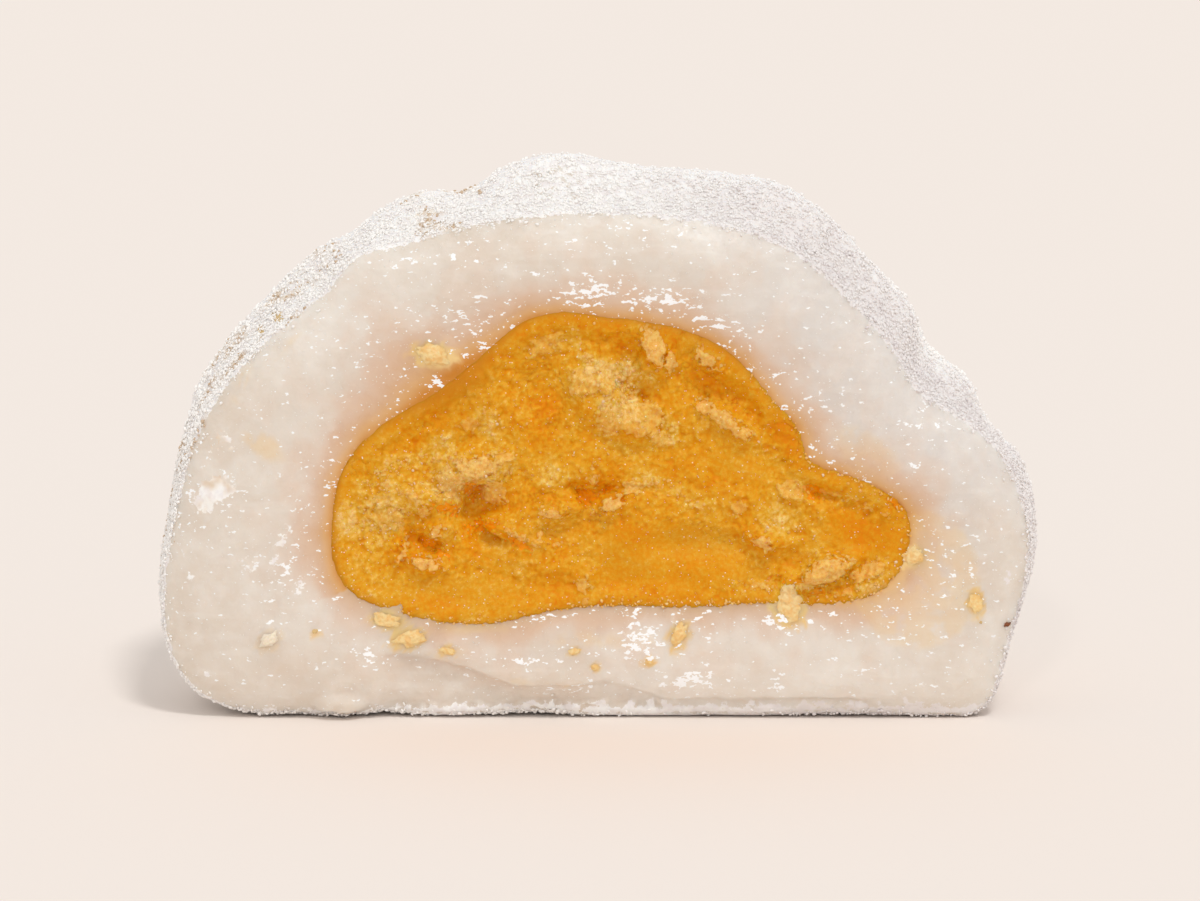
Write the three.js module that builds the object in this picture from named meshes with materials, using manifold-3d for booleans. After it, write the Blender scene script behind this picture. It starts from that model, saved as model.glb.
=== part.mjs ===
// Half of a filled rice cake (daifuku): a soft pounded-rice dome round a crumbly bean paste, cut
// through and standing on its flat base. Millimetres, +Z up. The cut face looks along -Y, the
// dusted back of the dome is towards +Y, and the origin is the middle of the base.
import * as THREE from "three";
import { ImprovedNoise } from "three/addons/math/ImprovedNoise.js";
import { mergeVertices } from "three/addons/utils/BufferGeometryUtils.js";
import Module from "manifold-3d";

// ---- Driving dimensions -------------------------------------------------------------------

const CAKE_DEPTH = 26.5; // cutting plane to the back of the dome
const WAIST_HEIGHT = 8; // height of the back's widest line
const DOME_ROUNDNESS = 2.3; // superellipse powers of the dome's plan, its crown and its foot
const CROWN_ROUNDNESS = 2.35;
const FOOT_SQUARENESS = 7;
const PASTE_DEPTH = 18; // how far the paste reaches behind the cut
const PASTE_ROUNDNESS = 2.2; // power of its plan
const GAP = 0.3; // between paste and cake
const SETTLE = 0.15; // what the cake's own weight flattens off its base

// An outline is a superellipse about its centre, with swells and dents where the soft cake slumped:
// each changes the radius by so many millimetres at an angle, over so many degrees either side.
const CUT_EDGE = {
  centre: { x: 0, z: 15 },
  halfWidth: 24.3,
  above: 15.5,
  below: 15,
  roundness: 2.1,
  squareness: 6.7,
  swells: [
    { at: 14, by: -1.6, over: 5 },
    { at: 19, by: -1.6, over: 12 },
    { at: 30, by: -1.6, over: 13 },
    { at: 137, by: 0.9, over: 4 },
    { at: 155, by: -1.6, over: 16 },
    { at: 199, by: 1.5, over: 12 },
    { at: 327, by: 1.6, over: 4 },
    { at: 351, by: 1.6, over: 9 },
  ],
};

// The dusted skin rises past the cut edge over the first few millimetres behind it.
const SKIN_RISE = {
  everywhere: 2.1,
  over: 6,
  swells: [
    { at: 5, by: -2.1, over: 3 },
    { at: 12, by: 1.7, over: 3 },
    { at: 15, by: -1.9, over: 5 },
    { at: 54, by: 0.7, over: 9 },
    { at: 97, by: 1, over: 6 },
    { at: 116, by: -1.2, over: 3 },
    { at: 137, by: -1.4, over: 3 },
    { at: 172, by: -1, over: 17 },
    { at: 198, by: 2, over: 4 },
    { at: 343, by: 1.9, over: 5 },
  ],
};

const PASTE_EDGE = {
  centre: { x: 1.5, z: 13.8 },
  halfWidth: 17.4,
  above: 10.2,
  below: 7.1,
  roundness: 1.9,
  squareness: 5.1,
  swells: [
    { at: 7, by: -2.6, over: 5 },
    { at: 13, by: -2.6, over: 12 },
    { at: 30, by: -2.6, over: 16 },
    { at: 116, by: 0.8, over: 11 },
    { at: 152, by: -2.6, over: 17 },
    { at: 219, by: 1.4, over: 12 },
    { at: 323, by: -0.6, over: 5 },
    { at: 357, by: 1.2, over: 5 },
  ],
};

// Just behind the cut the paste is wider than where it shows, so the cake thins to a wedge over it.
const PASTE_SPREAD = {
  everywhere: 0.3,
  over: 3,
  swells: [
    { at: 30, by: 0.9, over: 16 },
    { at: 98, by: 1.2, over: 18 },
    { at: 148, by: 2.6, over: 20 },
  ],
};

// Where the base's front edge lifts off the ground: along it, how high and over what half length.
const FRONT_LIFTS = [
  { at: -17.5, by: 0.35, over: 1.0 },
  { at: -12.5, by: 0.55, over: 1.7 },
  { at: -4.2, by: 0.45, over: 3.2 },
  { at: 16, by: 0.25, over: 3.5 },
];

// Torn flakes of paste that stand off the cut: place, half length, half height, tilt and thickness.
const FLAKES = [
  { x: 3.6, z: 22.2, long: 1.5, high: 1.0, tilt: 100, thick: 0.7 },
  { x: 6.9, z: 21.7, long: 1.1, high: 0.5, tilt: -30, thick: 0.6 },
  { x: 8.3, z: 17.6, long: 2.1, high: 0.7, tilt: -38, thick: 0.7 },
  { x: 0.0, z: 19.8, long: 2.2, high: 1.3, tilt: -55, thick: 0.6 },
  { x: 2.0, z: 17.8, long: 1.9, high: 1.1, tilt: -20, thick: 0.6 },
  { x: -7.0, z: 15.4, long: 2.2, high: 1.1, tilt: 8, thick: 0.7 },
  { x: -9.8, z: 13.4, long: 2.1, high: 0.7, tilt: -18, thick: 0.6 },
  { x: -9.1, z: 11.6, long: 0.9, high: 0.7, tilt: 30, thick: 0.7 },
  { x: -11.7, z: 10.3, long: 1.2, high: 0.5, tilt: 78, thick: 0.7 },
  { x: -9.8, z: 9.5, long: 1.4, high: 0.5, tilt: -14, thick: 0.6 },
  { x: -5.2, z: 11.5, long: 1.6, high: 0.5, tilt: -26, thick: 0.6 },
  { x: -2.1, z: 12.8, long: 1.4, high: 0.7, tilt: 5, thick: 0.6 },
  { x: 1.7, z: 13.2, long: 1.7, high: 0.6, tilt: 24, thick: 0.6 },
  { x: 10.2, z: 11.0, long: 1.4, high: 0.5, tilt: -14, thick: 0.6 },
  { x: 11.5, z: 8.2, long: 0.9, high: 0.7, tilt: 70, thick: 0.9 },
  { x: 13.9, z: 9.2, long: 2.0, high: 0.9, tilt: 20, thick: 0.8 },
  { x: 16.4, z: 8.6, long: 1.4, high: 0.6, tilt: 24, thick: 0.6 },
  { x: 17.2, z: 12.5, long: 1.2, high: 0.4, tilt: -34, thick: 0.5 },
  { x: -0.6, z: 8.7, long: 1.0, high: 0.9, tilt: 60, thick: 0.5 },
];

// Holes where crumbs have pulled out of the paste: place, half width, half height and depth.
const PITS = [
  { x: -6.7, z: 13.1, wide: 0.7, high: 1.3, deep: 1.6 },
  { x: -8.4, z: 12.8, wide: 0.9, high: 0.6, deep: 1.0 },
  { x: -6.2, z: 11.2, wide: 1.3, high: 0.6, deep: 1.2 },
  { x: -9.9, z: 10.5, wide: 1.3, high: 0.6, deep: 0.9 },
  { x: -1.1, z: 13.4, wide: 0.8, high: 0.6, deep: 1.6 },
  { x: 1.0, z: 13.9, wide: 0.7, high: 0.4, deep: 1.2 },
  { x: -2.4, z: 11.4, wide: 0.9, high: 0.5, deep: 0.8 },
  { x: 12.9, z: 13.5, wide: 0.9, high: 0.5, deep: 1.2 },
  { x: 17.6, z: 13.2, wide: 0.8, high: 0.5, deep: 1.0 },
  { x: 2.4, z: 21.0, wide: 1.5, high: 1.8, deep: 0.9 },
  { x: 7.4, z: 19.8, wide: 2.2, high: 1.1, deep: 0.8 },
  { x: -3.9, z: 19.6, wide: 1.3, high: 1.4, deep: 0.8 },
  { x: 6.0, z: 10.6, wide: 3.0, high: 0.8, deep: 0.6 },
  { x: 9.6, z: 7.8, wide: 1.2, high: 0.4, deep: 1.0 },
  { x: 14.2, z: 7.6, wide: 1.4, high: 0.4, deep: 0.9 },
];

// Crumbs of paste that the blade dragged on to the cake's cut face, pressed half into it.
const CRUMBS = [
  { x: -9.6, z: 22.2, long: 1.3, high: 0.6, tilt: 25, thick: 0.35 },
  { x: -19.0, z: 4.9, long: 0.8, high: 0.6, tilt: 40, thick: 0.3 },
  { x: -12.4, z: 6.2, long: 0.9, high: 0.5, tilt: 10, thick: 0.3 },
  { x: -10.8, z: 4.8, long: 1.1, high: 0.5, tilt: 25, thick: 0.3 },
  { x: -8.7, z: 4.1, long: 1.2, high: 0.4, tilt: -15, thick: 0.25 },
  { x: 4.8, z: 5.1, long: 0.8, high: 0.6, tilt: 60, thick: 0.3 },
  { x: -1.2, z: 4.2, long: 0.8, high: 0.4, tilt: 0, thick: 0.25 },
  { x: 22.5, z: 6.2, long: 1.3, high: 0.7, tilt: 80, thick: 0.3 },
];

const CUT_THICKNESS = 2.5; // all of the cut's relief lies within this depth

// Rings of each lofted surface. A ring of the paste's face has six more points than the one
// inside it, and every other ring has as many as the outermost.
const PASTE_FACE_RINGS = 18;
const WALL_RINGS = 7; // of the paste and of the hollow alike
const CAKE_FACE_RINGS = 7;
const SKIN_RINGS = 17;
const AROUND = 6 * PASTE_FACE_RINGS;

// ---- Shape functions ----------------------------------------------------------------------

const FULL_TURN = 2 * Math.PI;
const grain = new ImprovedNoise();

function smoothstep(value) {
  const t = THREE.MathUtils.clamp(value, 0, 1);
  return t * t * (3 - 2 * t);
}

// Sum of the swells at an angle in radians.
function swell(angle, swells) {
  const degrees = THREE.MathUtils.radToDeg(angle);
  return swells.reduce((sum, { at, by, over }) => {
    const away = THREE.MathUtils.euclideanModulo(degrees - at + 180, 360) - 180;
    return sum + by * Math.exp(-0.5 * (away / over) ** 2);
  }, 0);
}

// Radius of an outline at an angle: a superellipse that is rounder above its centre than below,
// with a share of its swells.
function outlineRadius(angle, edge, swollen = 1) {
  const up = Math.sin(angle);
  const power = up >= 0 ? edge.roundness : edge.squareness;
  const height = up >= 0 ? edge.above : edge.below;
  const across = Math.abs(Math.cos(angle) / edge.halfWidth) ** power;
  const along = Math.abs(up / height) ** power;
  return (across + along) ** (-1 / power) + swollen * swell(angle, edge.swells);
}

// How much of its size a section keeps at a share of the depth, from 1 at the cut to 0 at the back.
function closing(share, power) {
  return Math.max(0, 1 - share ** power) ** (1 / power);
}

// Smooth noise from -1 to 1, with features of about the given size in millimetres.
function noise(x, y, z, size) {
  return grain.noise(x / size + 31.7, y / size + 11.3, z / size + 5.9);
}

// ---- Cake ---------------------------------------------------------------------------------

const FACE_BULGE = 0.55; // the cut face is fullest half way between paste and skin
const EDGE_ROUNDING = 0.7; // how far the cut edge is drawn back
const FOLD_STEP = 0.45; // height of the dragged fold across the foot of the cut
const SWELL_FADE = 16; // the cut's swells and dents die away over this depth
const LIFT_FADE = 2; // and the front edge's lifts over this
const SKIN_LUMPS = [
  { size: 7, by: 0.6 },
  { size: 3, by: 0.3 },
];

// Height of the fold line that the blade dragged across the foot of the face.
function foldHeight(x) {
  return 1.9 + 2.2 * smoothstep((-2 - x) / 10) - 0.7 * smoothstep((x - 3) / 3);
}

// The cut face's distance behind the cutting plane. Share is 0 at the paste and 1 at the skin.
function faceRelief(x, z, share) {
  const middle = Math.sin(Math.PI * share);
  const fold = FOLD_STEP * smoothstep((x + 13) / 2) * smoothstep((foldHeight(x) - z) / 0.8);
  const sag = 0.35 * noise(x, 0, z, 4.5);
  return EDGE_ROUNDING * share ** 7 + middle * (fold + sag - FACE_BULGE);
}

// How far the base's front edge is lifted at a place along it.
function frontLift(x) {
  return FRONT_LIFTS.reduce((sum, { at, by, over }) => sum + by * Math.exp(-(((x - at) / over) ** 2)), 0);
}

function skinPoint(angle, share) {
  const y = THREE.MathUtils.lerp(EDGE_ROUNDING, CAKE_DEPTH, share);
  const swollen = Math.exp(-((y / SWELL_FADE) ** 2));
  const behind = smoothstep((y - EDGE_ROUNDING) / SKIN_RISE.over);
  const upward = smoothstep(0.6 + Math.sin(angle));
  const rise = SKIN_RISE.everywhere + swollen * swell(angle, SKIN_RISE.swells);
  const radius = outlineRadius(angle, CUT_EDGE, swollen) + rise * behind * upward;
  const rim = CUT_EDGE.centre.z + radius * Math.sin(angle);
  const closes = closing(share, rim > WAIST_HEIGHT ? CROWN_ROUNDNESS : FOOT_SQUARENESS);
  const point = new THREE.Vector3(
    CUT_EDGE.centre.x + radius * Math.cos(angle) * closing(share, DOME_ROUNDNESS),
    y,
    WAIST_HEIGHT + (rim - WAIST_HEIGHT) * closes,
  );
  const lump = SKIN_LUMPS.reduce((sum, { size, by }) => sum + by * noise(point.x, y, point.z, size), 0);
  const outward = new THREE.Vector3(point.x, y * share, Math.max(0, point.z - WAIST_HEIGHT)).normalize();
  point.addScaledVector(outward, lump * smoothstep((y - 3) / 7) * smoothstep(point.z / WAIST_HEIGHT));
  const lifted = frontLift(point.x) * Math.exp(-y / LIFT_FADE) * (1 - smoothstep(point.z / 2));
  point.z = Math.max(0, point.z - SETTLE) + lifted;
  return point;
}

// A point of the paste's wall, or of the hollow round it, which is larger by the gap.
function wallPoint(angle, share, gap) {
  const spread = (PASTE_SPREAD.everywhere + swell(angle, PASTE_SPREAD.swells))
    * smoothstep((PASTE_DEPTH * share) / PASTE_SPREAD.over);
  const radius = (outlineRadius(angle, PASTE_EDGE) + spread) * closing(share, PASTE_ROUNDNESS) + gap;
  return new THREE.Vector3(
    PASTE_EDGE.centre.x + radius * Math.cos(angle),
    (PASTE_DEPTH + gap) * share,
    PASTE_EDGE.centre.z + radius * Math.sin(angle),
  );
}

function cakeFacePoint(angle, share) {
  const point = wallPoint(angle, 0, GAP).lerp(skinPoint(angle, 0), share);
  point.y = faceRelief(point.x, point.z, share);
  return point;
}

// ---- Paste --------------------------------------------------------------------------------

const PASTE_RECESS = 0.4; // the cut paste sits back from the cake's face
const PASTE_CRAGS = [
  { size: 3.6, by: 0.55 },
  { size: 1.8, by: 0.4 },
];

// The cut paste's distance behind the cutting plane, crumbly and pitted. Share is 1 at its edge.
function pasteRelief(x, z, share) {
  const crags = PASTE_CRAGS.reduce((sum, { size, by }) => sum + by * noise(x, size, z, size), 0);
  const pit = PITS.reduce((deepest, { x: px, z: pz, wide, high, deep }) => {
    const away = Math.hypot((x - px) / wide, (z - pz) / high);
    return Math.max(deepest, deep * (1 - smoothstep((away - 0.5) / 0.9)));
  }, 0);
  return PASTE_RECESS + (1 - share ** 6) * (crags + pit);
}

function pasteFacePoint(angle, share) {
  const edge = wallPoint(angle, 0, 0);
  const x = THREE.MathUtils.lerp(PASTE_EDGE.centre.x, edge.x, share);
  const z = THREE.MathUtils.lerp(PASTE_EDGE.centre.z, edge.z, share);
  return new THREE.Vector3(x, pasteRelief(x, z, share), z);
}

// ---- Lofting and joining ------------------------------------------------------------------

// One ring of points from a function of the angle, turning from +X towards +Z.
function ring(count, pointAt) {
  return Array.from({ length: count }, (_, i) => pointAt((i / count) * FULL_TURN));
}

// Faces between an inner ring and an outer one with as many points, or with one more in each
// of six sectors. The outer ring's points follow the inner ring's.
function bridge(start, inner, outer) {
  const faces = [];
  const sectors = outer > inner ? 6 : inner;
  const [from, to] = [inner / sectors, outer / sectors];
  for (let sector = 0; sector < sectors; sector += 1) {
    for (let j = 0; j < to; j += 1) {
      const a = start + ((sector * from + Math.min(j, from)) % inner);
      const b = start + ((sector * from + Math.min(j + 1, from)) % inner);
      const c = start + inner + sector * to + j;
      const d = start + inner + ((sector * to + j + 1) % outer);
      faces.push(a, c, d);
      if (a !== b) faces.push(a, d, b);
    }
  }
  return faces;
}

// A closed mesh through rings of points, with a single point at each end.
function loft(first, rings, last) {
  const points = [first, ...rings.flat(), last];
  const faces = [];
  rings[0].forEach((_, i) => faces.push(0, 1 + i, 1 + ((i + 1) % rings[0].length)));
  let start = 1;
  for (let i = 0; i + 1 < rings.length; i += 1) {
    faces.push(...bridge(start, rings[i].length, rings[i + 1].length));
    start += rings[i].length;
  }
  const end = points.length - 1;
  rings.at(-1).forEach((_, i, { length }) => faces.push(start + i, end, start + ((i + 1) % length)));
  const geometry = new THREE.BufferGeometry().setFromPoints(points);
  geometry.setIndex(faces);
  return geometry;
}

// Shares of the depth for rings round a closing curve of the given power, crowded at the cut.
function depthShares(count, power) {
  const turns = Array.from({ length: count + 1 }, (_, i) => (i / (count + 0.3)) ** 1.4);
  return turns.map((turn) => Math.sin((turn * Math.PI) / 2) ** (2 / power));
}

function pasteGeometry() {
  const { x, z } = PASTE_EDGE.centre;
  const rings = [];
  for (let i = 1; i <= PASTE_FACE_RINGS; i += 1) {
    rings.push(ring(6 * i, (angle) => pasteFacePoint(angle, i / PASTE_FACE_RINGS)));
  }
  for (const share of depthShares(WALL_RINGS, PASTE_ROUNDNESS).slice(1)) {
    rings.push(ring(AROUND, (angle) => wallPoint(angle, share, 0)));
  }
  const front = new THREE.Vector3(x, pasteRelief(x, z, 0), z);
  return loft(front, rings, new THREE.Vector3(x, PASTE_DEPTH, z));
}

function cakeGeometry() {
  const { x, z } = PASTE_EDGE.centre;
  const rings = [];
  for (const share of depthShares(WALL_RINGS, PASTE_ROUNDNESS).slice(1).reverse()) {
    rings.push(ring(AROUND, (angle) => wallPoint(angle, share, GAP)));
  }
  for (let i = 0; i < CAKE_FACE_RINGS; i += 1) {
    rings.push(ring(AROUND, (angle) => cakeFacePoint(angle, i / CAKE_FACE_RINGS)));
  }
  for (const share of depthShares(SKIN_RINGS, DOME_ROUNDNESS)) {
    rings.push(ring(AROUND, (angle) => skinPoint(angle, share)));
  }
  const hollowEnd = new THREE.Vector3(x, PASTE_DEPTH + GAP, z);
  return loft(hollowEnd, rings, new THREE.Vector3(CUT_EDGE.centre.x, CAKE_DEPTH, WAIST_HEIGHT));
}

// A torn scrap of paste: a flattened ball with a ragged outline, centred in depth at y.
function scrapGeometry({ x, z, long, high, tilt, thick }, y) {
  const geometry = new THREE.IcosahedronGeometry(1, 1);
  const position = geometry.getAttribute("position");
  const point = new THREE.Vector3();
  for (let i = 0; i < position.count; i += 1) {
    point.fromBufferAttribute(position, i);
    point.multiplyScalar(1 + 0.45 * noise(point.x + x, point.y, point.z + z, 0.8));
    position.setXYZ(i, point.x * long, point.y * thick, point.z * high);
  }
  geometry.rotateY(-THREE.MathUtils.degToRad(tilt));
  geometry.translate(x, y, z);
  return geometry;
}

const wasm = await Module();
wasm.setup();

function toSolid(geometry) {
  const bare = geometry.index ? geometry.toNonIndexed() : geometry;
  bare.deleteAttribute("normal");
  bare.deleteAttribute("uv");
  const merged = mergeVertices(bare, 1e-4);
  return new wasm.Manifold(
    new wasm.Mesh({
      numProp: 3,
      vertProperties: merged.getAttribute("position").array,
      triVerts: new Uint32Array(merged.index.array),
    }),
  );
}

// Depth of the body's cut surface at a place on it, from the nearest of its points.
function cutDepthAt(body, x, z) {
  const position = body.getAttribute("position");
  let depth = 0;
  let nearest = Infinity;
  for (let i = 0; i < position.count; i += 1) {
    const away = Math.hypot(position.getX(i) - x, position.getZ(i) - z);
    if (position.getY(i) < CUT_THICKNESS && away < nearest) {
      nearest = away;
      depth = position.getY(i);
    }
  }
  return depth;
}

// Joins scraps on to a body, each half sunk in its cut surface.
function withScraps(body, scraps) {
  const solid = scraps.reduce(
    (joined, scrap) => joined.add(toSolid(scrapGeometry(scrap, cutDepthAt(body, scrap.x, scrap.z)))),
    toSolid(body),
  );
  const { vertProperties, triVerts } = solid.getMesh();
  const geometry = new THREE.BufferGeometry();
  geometry.setAttribute("position", new THREE.BufferAttribute(vertProperties, 3));
  geometry.setIndex(new THREE.BufferAttribute(triVerts, 1));
  geometry.computeVertexNormals();
  return geometry;
}

// ---- Scene graph --------------------------------------------------------------------------

function piece(name, geometry, look) {
  const mesh = new THREE.Mesh(geometry, new THREE.MeshStandardMaterial(look));
  mesh.name = name;
  return mesh;
}

const half = new THREE.Group();
half.add(
  piece(
    "rice_cake",
    withScraps(cakeGeometry(), CRUMBS),
    { color: "#e2d2c2", roughness: 0.45, metalness: 0 },
  ),
  piece(
    "bean_paste",
    withScraps(pasteGeometry(), FLAKES),
    { color: "#dc9a38", roughness: 0.75, metalness: 0 },
  ),
);

// The base's middle is the origin.
const box = new THREE.Box3().setFromObject(half);
const middle = box.getCenter(new THREE.Vector3());
half.position.set(-middle.x, -middle.y, -box.min.z);

export default half;
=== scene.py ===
"""Half a mochi rice cake, cut open on its yellow bean paste and lying on its flat foot.

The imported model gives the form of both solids. Here the rice dough and the paste are remeshed from
copies of them and given their fine relief, and the potato starch, the stray crumbs of paste and the
fine beads of moisture are laid on as real mesh. Sizes are in millimetres unless a name says otherwise.
"""

import logging
import math
from collections.abc import Iterable
from dataclasses import dataclass, field
from enum import Enum

import bpy
import numpy as np
from bpy.types import Material, Node, NodeSocket, NodeTree, Object
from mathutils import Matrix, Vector, noise
from mathutils.bvhtree import BVHTree
from mathutils.kdtree import KDTree

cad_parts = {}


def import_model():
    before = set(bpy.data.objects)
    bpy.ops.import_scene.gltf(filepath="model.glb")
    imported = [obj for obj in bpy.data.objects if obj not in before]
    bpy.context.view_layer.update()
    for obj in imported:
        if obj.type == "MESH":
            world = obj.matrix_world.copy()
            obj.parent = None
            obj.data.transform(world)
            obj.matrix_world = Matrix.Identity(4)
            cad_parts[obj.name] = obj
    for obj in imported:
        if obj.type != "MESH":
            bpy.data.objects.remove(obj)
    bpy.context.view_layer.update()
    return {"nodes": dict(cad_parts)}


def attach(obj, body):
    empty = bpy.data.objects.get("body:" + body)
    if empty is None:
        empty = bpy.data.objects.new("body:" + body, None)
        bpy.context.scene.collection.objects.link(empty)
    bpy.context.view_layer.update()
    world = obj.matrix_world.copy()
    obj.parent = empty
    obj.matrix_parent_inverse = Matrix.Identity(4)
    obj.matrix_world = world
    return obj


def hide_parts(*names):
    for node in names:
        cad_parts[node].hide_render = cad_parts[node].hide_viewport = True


LOG = logging.getLogger("rice_cake_half")
MM = 0.001  # a millimetre, in metres
CUT_PLANE = -12.855  # where the knife passed, along y
HEART = (1.33, 13.8)  # the middle of the paste on the cut, x and z
NOTCH = (-9.3, 30.6)  # the dent in the dome's upper edge, x and z
THIN_WALL = 145  # the angle round HEART, in degrees, where the dough over the paste is thinnest


# ---------------------------------------------------------------- small tools


def linear(colour: str) -> tuple[float, float, float, float]:
    """Turns a colour to the linear light that shaders take.

    Args:
        colour: sRGB as "#rrggbb".

    Returns:
        Linear red, green, blue and an alpha of 1.
    """
    parts = [int(colour[i : i + 2], 16) / 255 for i in (1, 3, 5)]
    light = [p / 12.92 if p <= 0.04045 else ((p + 0.055) / 1.055) ** 2.4 for p in parts]
    return (*light, 1.0)


def smoothstep(low: float, high: float, value: np.ndarray) -> np.ndarray:
    """Rises smoothly from 0 at low to 1 at high, or falls where high is the smaller.

    Args:
        low: Where the step starts.
        high: Where it ends.
        value: What is measured.

    Returns:
        The share of the step, 0 to 1.
    """
    share = np.clip((value - low) / (high - low), 0, 1)
    return share * share * (3 - 2 * share)


def bell(value: np.ndarray, middle: float, width: float) -> np.ndarray:
    """A bell curve: 1 at its middle, and falling to a third at its width."""
    return np.exp(-(((value - middle) / width) ** 2))


def waves(points: np.ndarray, size: float, octaves: int, seed: float) -> np.ndarray:
    """Soft fractal unevenness.

    Args:
        points: Places, one row each.
        size: Size of the broadest waves.
        octaves: How many times the waves are halved.
        seed: Picks another pattern.

    Returns:
        About -1 to 1 at each place.
    """
    shift = np.array((seed * 7.31, seed * -3.17, seed * 5.93))
    return np.array([noise.fractal(p, 0.9, 2.0, octaves) for p in points / size + shift])


def grains(points: np.ndarray, size: float, seed: float) -> np.ndarray:
    """Rounded grains that touch each other.

    Args:
        points: Places, one row each.
        size: Spacing of the grains.
        seed: Picks another pattern.

    Returns:
        Height at each place: 1 on top of a grain, falling to about 0 between grains.
    """
    shift = np.array((seed * 3.7, seed * 11.3, seed * -6.1))
    near = np.array([noise.voronoi(p)[0][0] for p in points / size + shift])
    return np.clip(1 - near / 0.75, 0, 1) ** 0.8


@dataclass(frozen=True)
class Patch:
    """An oval patch on the cut face.

    Attributes:
        x: Middle, across.
        z: Middle, up.
        length: Half its length.
        width: Half its width.
        turn: Degrees its length is turned up from level.
        amount: Height, depth or strength of what the patch carries.
        tone: A second strength, for its colour.
    """

    x: float
    z: float
    length: float
    width: float
    turn: float = 0.0
    amount: float = 1.0
    tone: float = 1.0

    def inside(self, points: np.ndarray) -> np.ndarray:
        """How far inside its edge each place is, in millimetres, and less than 0 outside."""
        cos, sin = math.cos(math.radians(self.turn)), math.sin(math.radians(self.turn))
        across, up = points[:, 0] - self.x, points[:, 2] - self.z
        along = (across * cos + up * sin) / self.length
        beside = (up * cos - across * sin) / self.width
        return (1 - np.hypot(along, beside)) * min(self.length, self.width)


def patches(*rows: tuple[float, ...]) -> tuple[Patch, ...]:
    """Makes a patch from each row of its numbers."""
    return tuple(Patch(*row) for row in rows)


def layered(chosen: Iterable[Patch], points: np.ndarray, ragged: np.ndarray,
            soft: float) -> np.ndarray:
    """The strongest patch at each place.

    Args:
        chosen: The patches.
        points: Places, one row each.
        ragged: Millimetres that the patches' edges wander at each place.
        soft: Width of the step at an edge.

    Returns:
        The largest amount at each place, 0 outside them all.
    """
    top = np.zeros(len(points))
    for patch in chosen:
        top = np.maximum(top, patch.amount * smoothstep(0, soft, patch.inside(points) + ragged))
    return top


def deepest(among: tuple[Patch, ...], points: np.ndarray) -> tuple[np.ndarray, ...]:
    """The patch that each place lies deepest in, or nearest to.

    Args:
        among: The patches.
        points: Places, one row each.

    Returns:
        How far inside that patch each place is, its amount and its tone.
    """
    depths = np.stack([patch.inside(points) for patch in among])
    chosen = depths.argmax(axis=0)
    return (np.take_along_axis(depths, chosen[None], 0)[0],
            np.array([patch.amount for patch in among])[chosen],
            np.array([patch.tone for patch in among])[chosen])


def around_heart(points: np.ndarray) -> tuple[np.ndarray, np.ndarray]:
    """The angle, in degrees, and the distance of each place from HEART, seen from the front."""
    across, up = points[:, 0] - HEART[0], points[:, 2] - HEART[1]
    return np.degrees(np.arctan2(up, across)) % 360, np.hypot(across, up)


# ---------------------------------------------------------------- measured places on the cut

# Each row is x, z, half length, half width and turn; then what its table's comment names.

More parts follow.
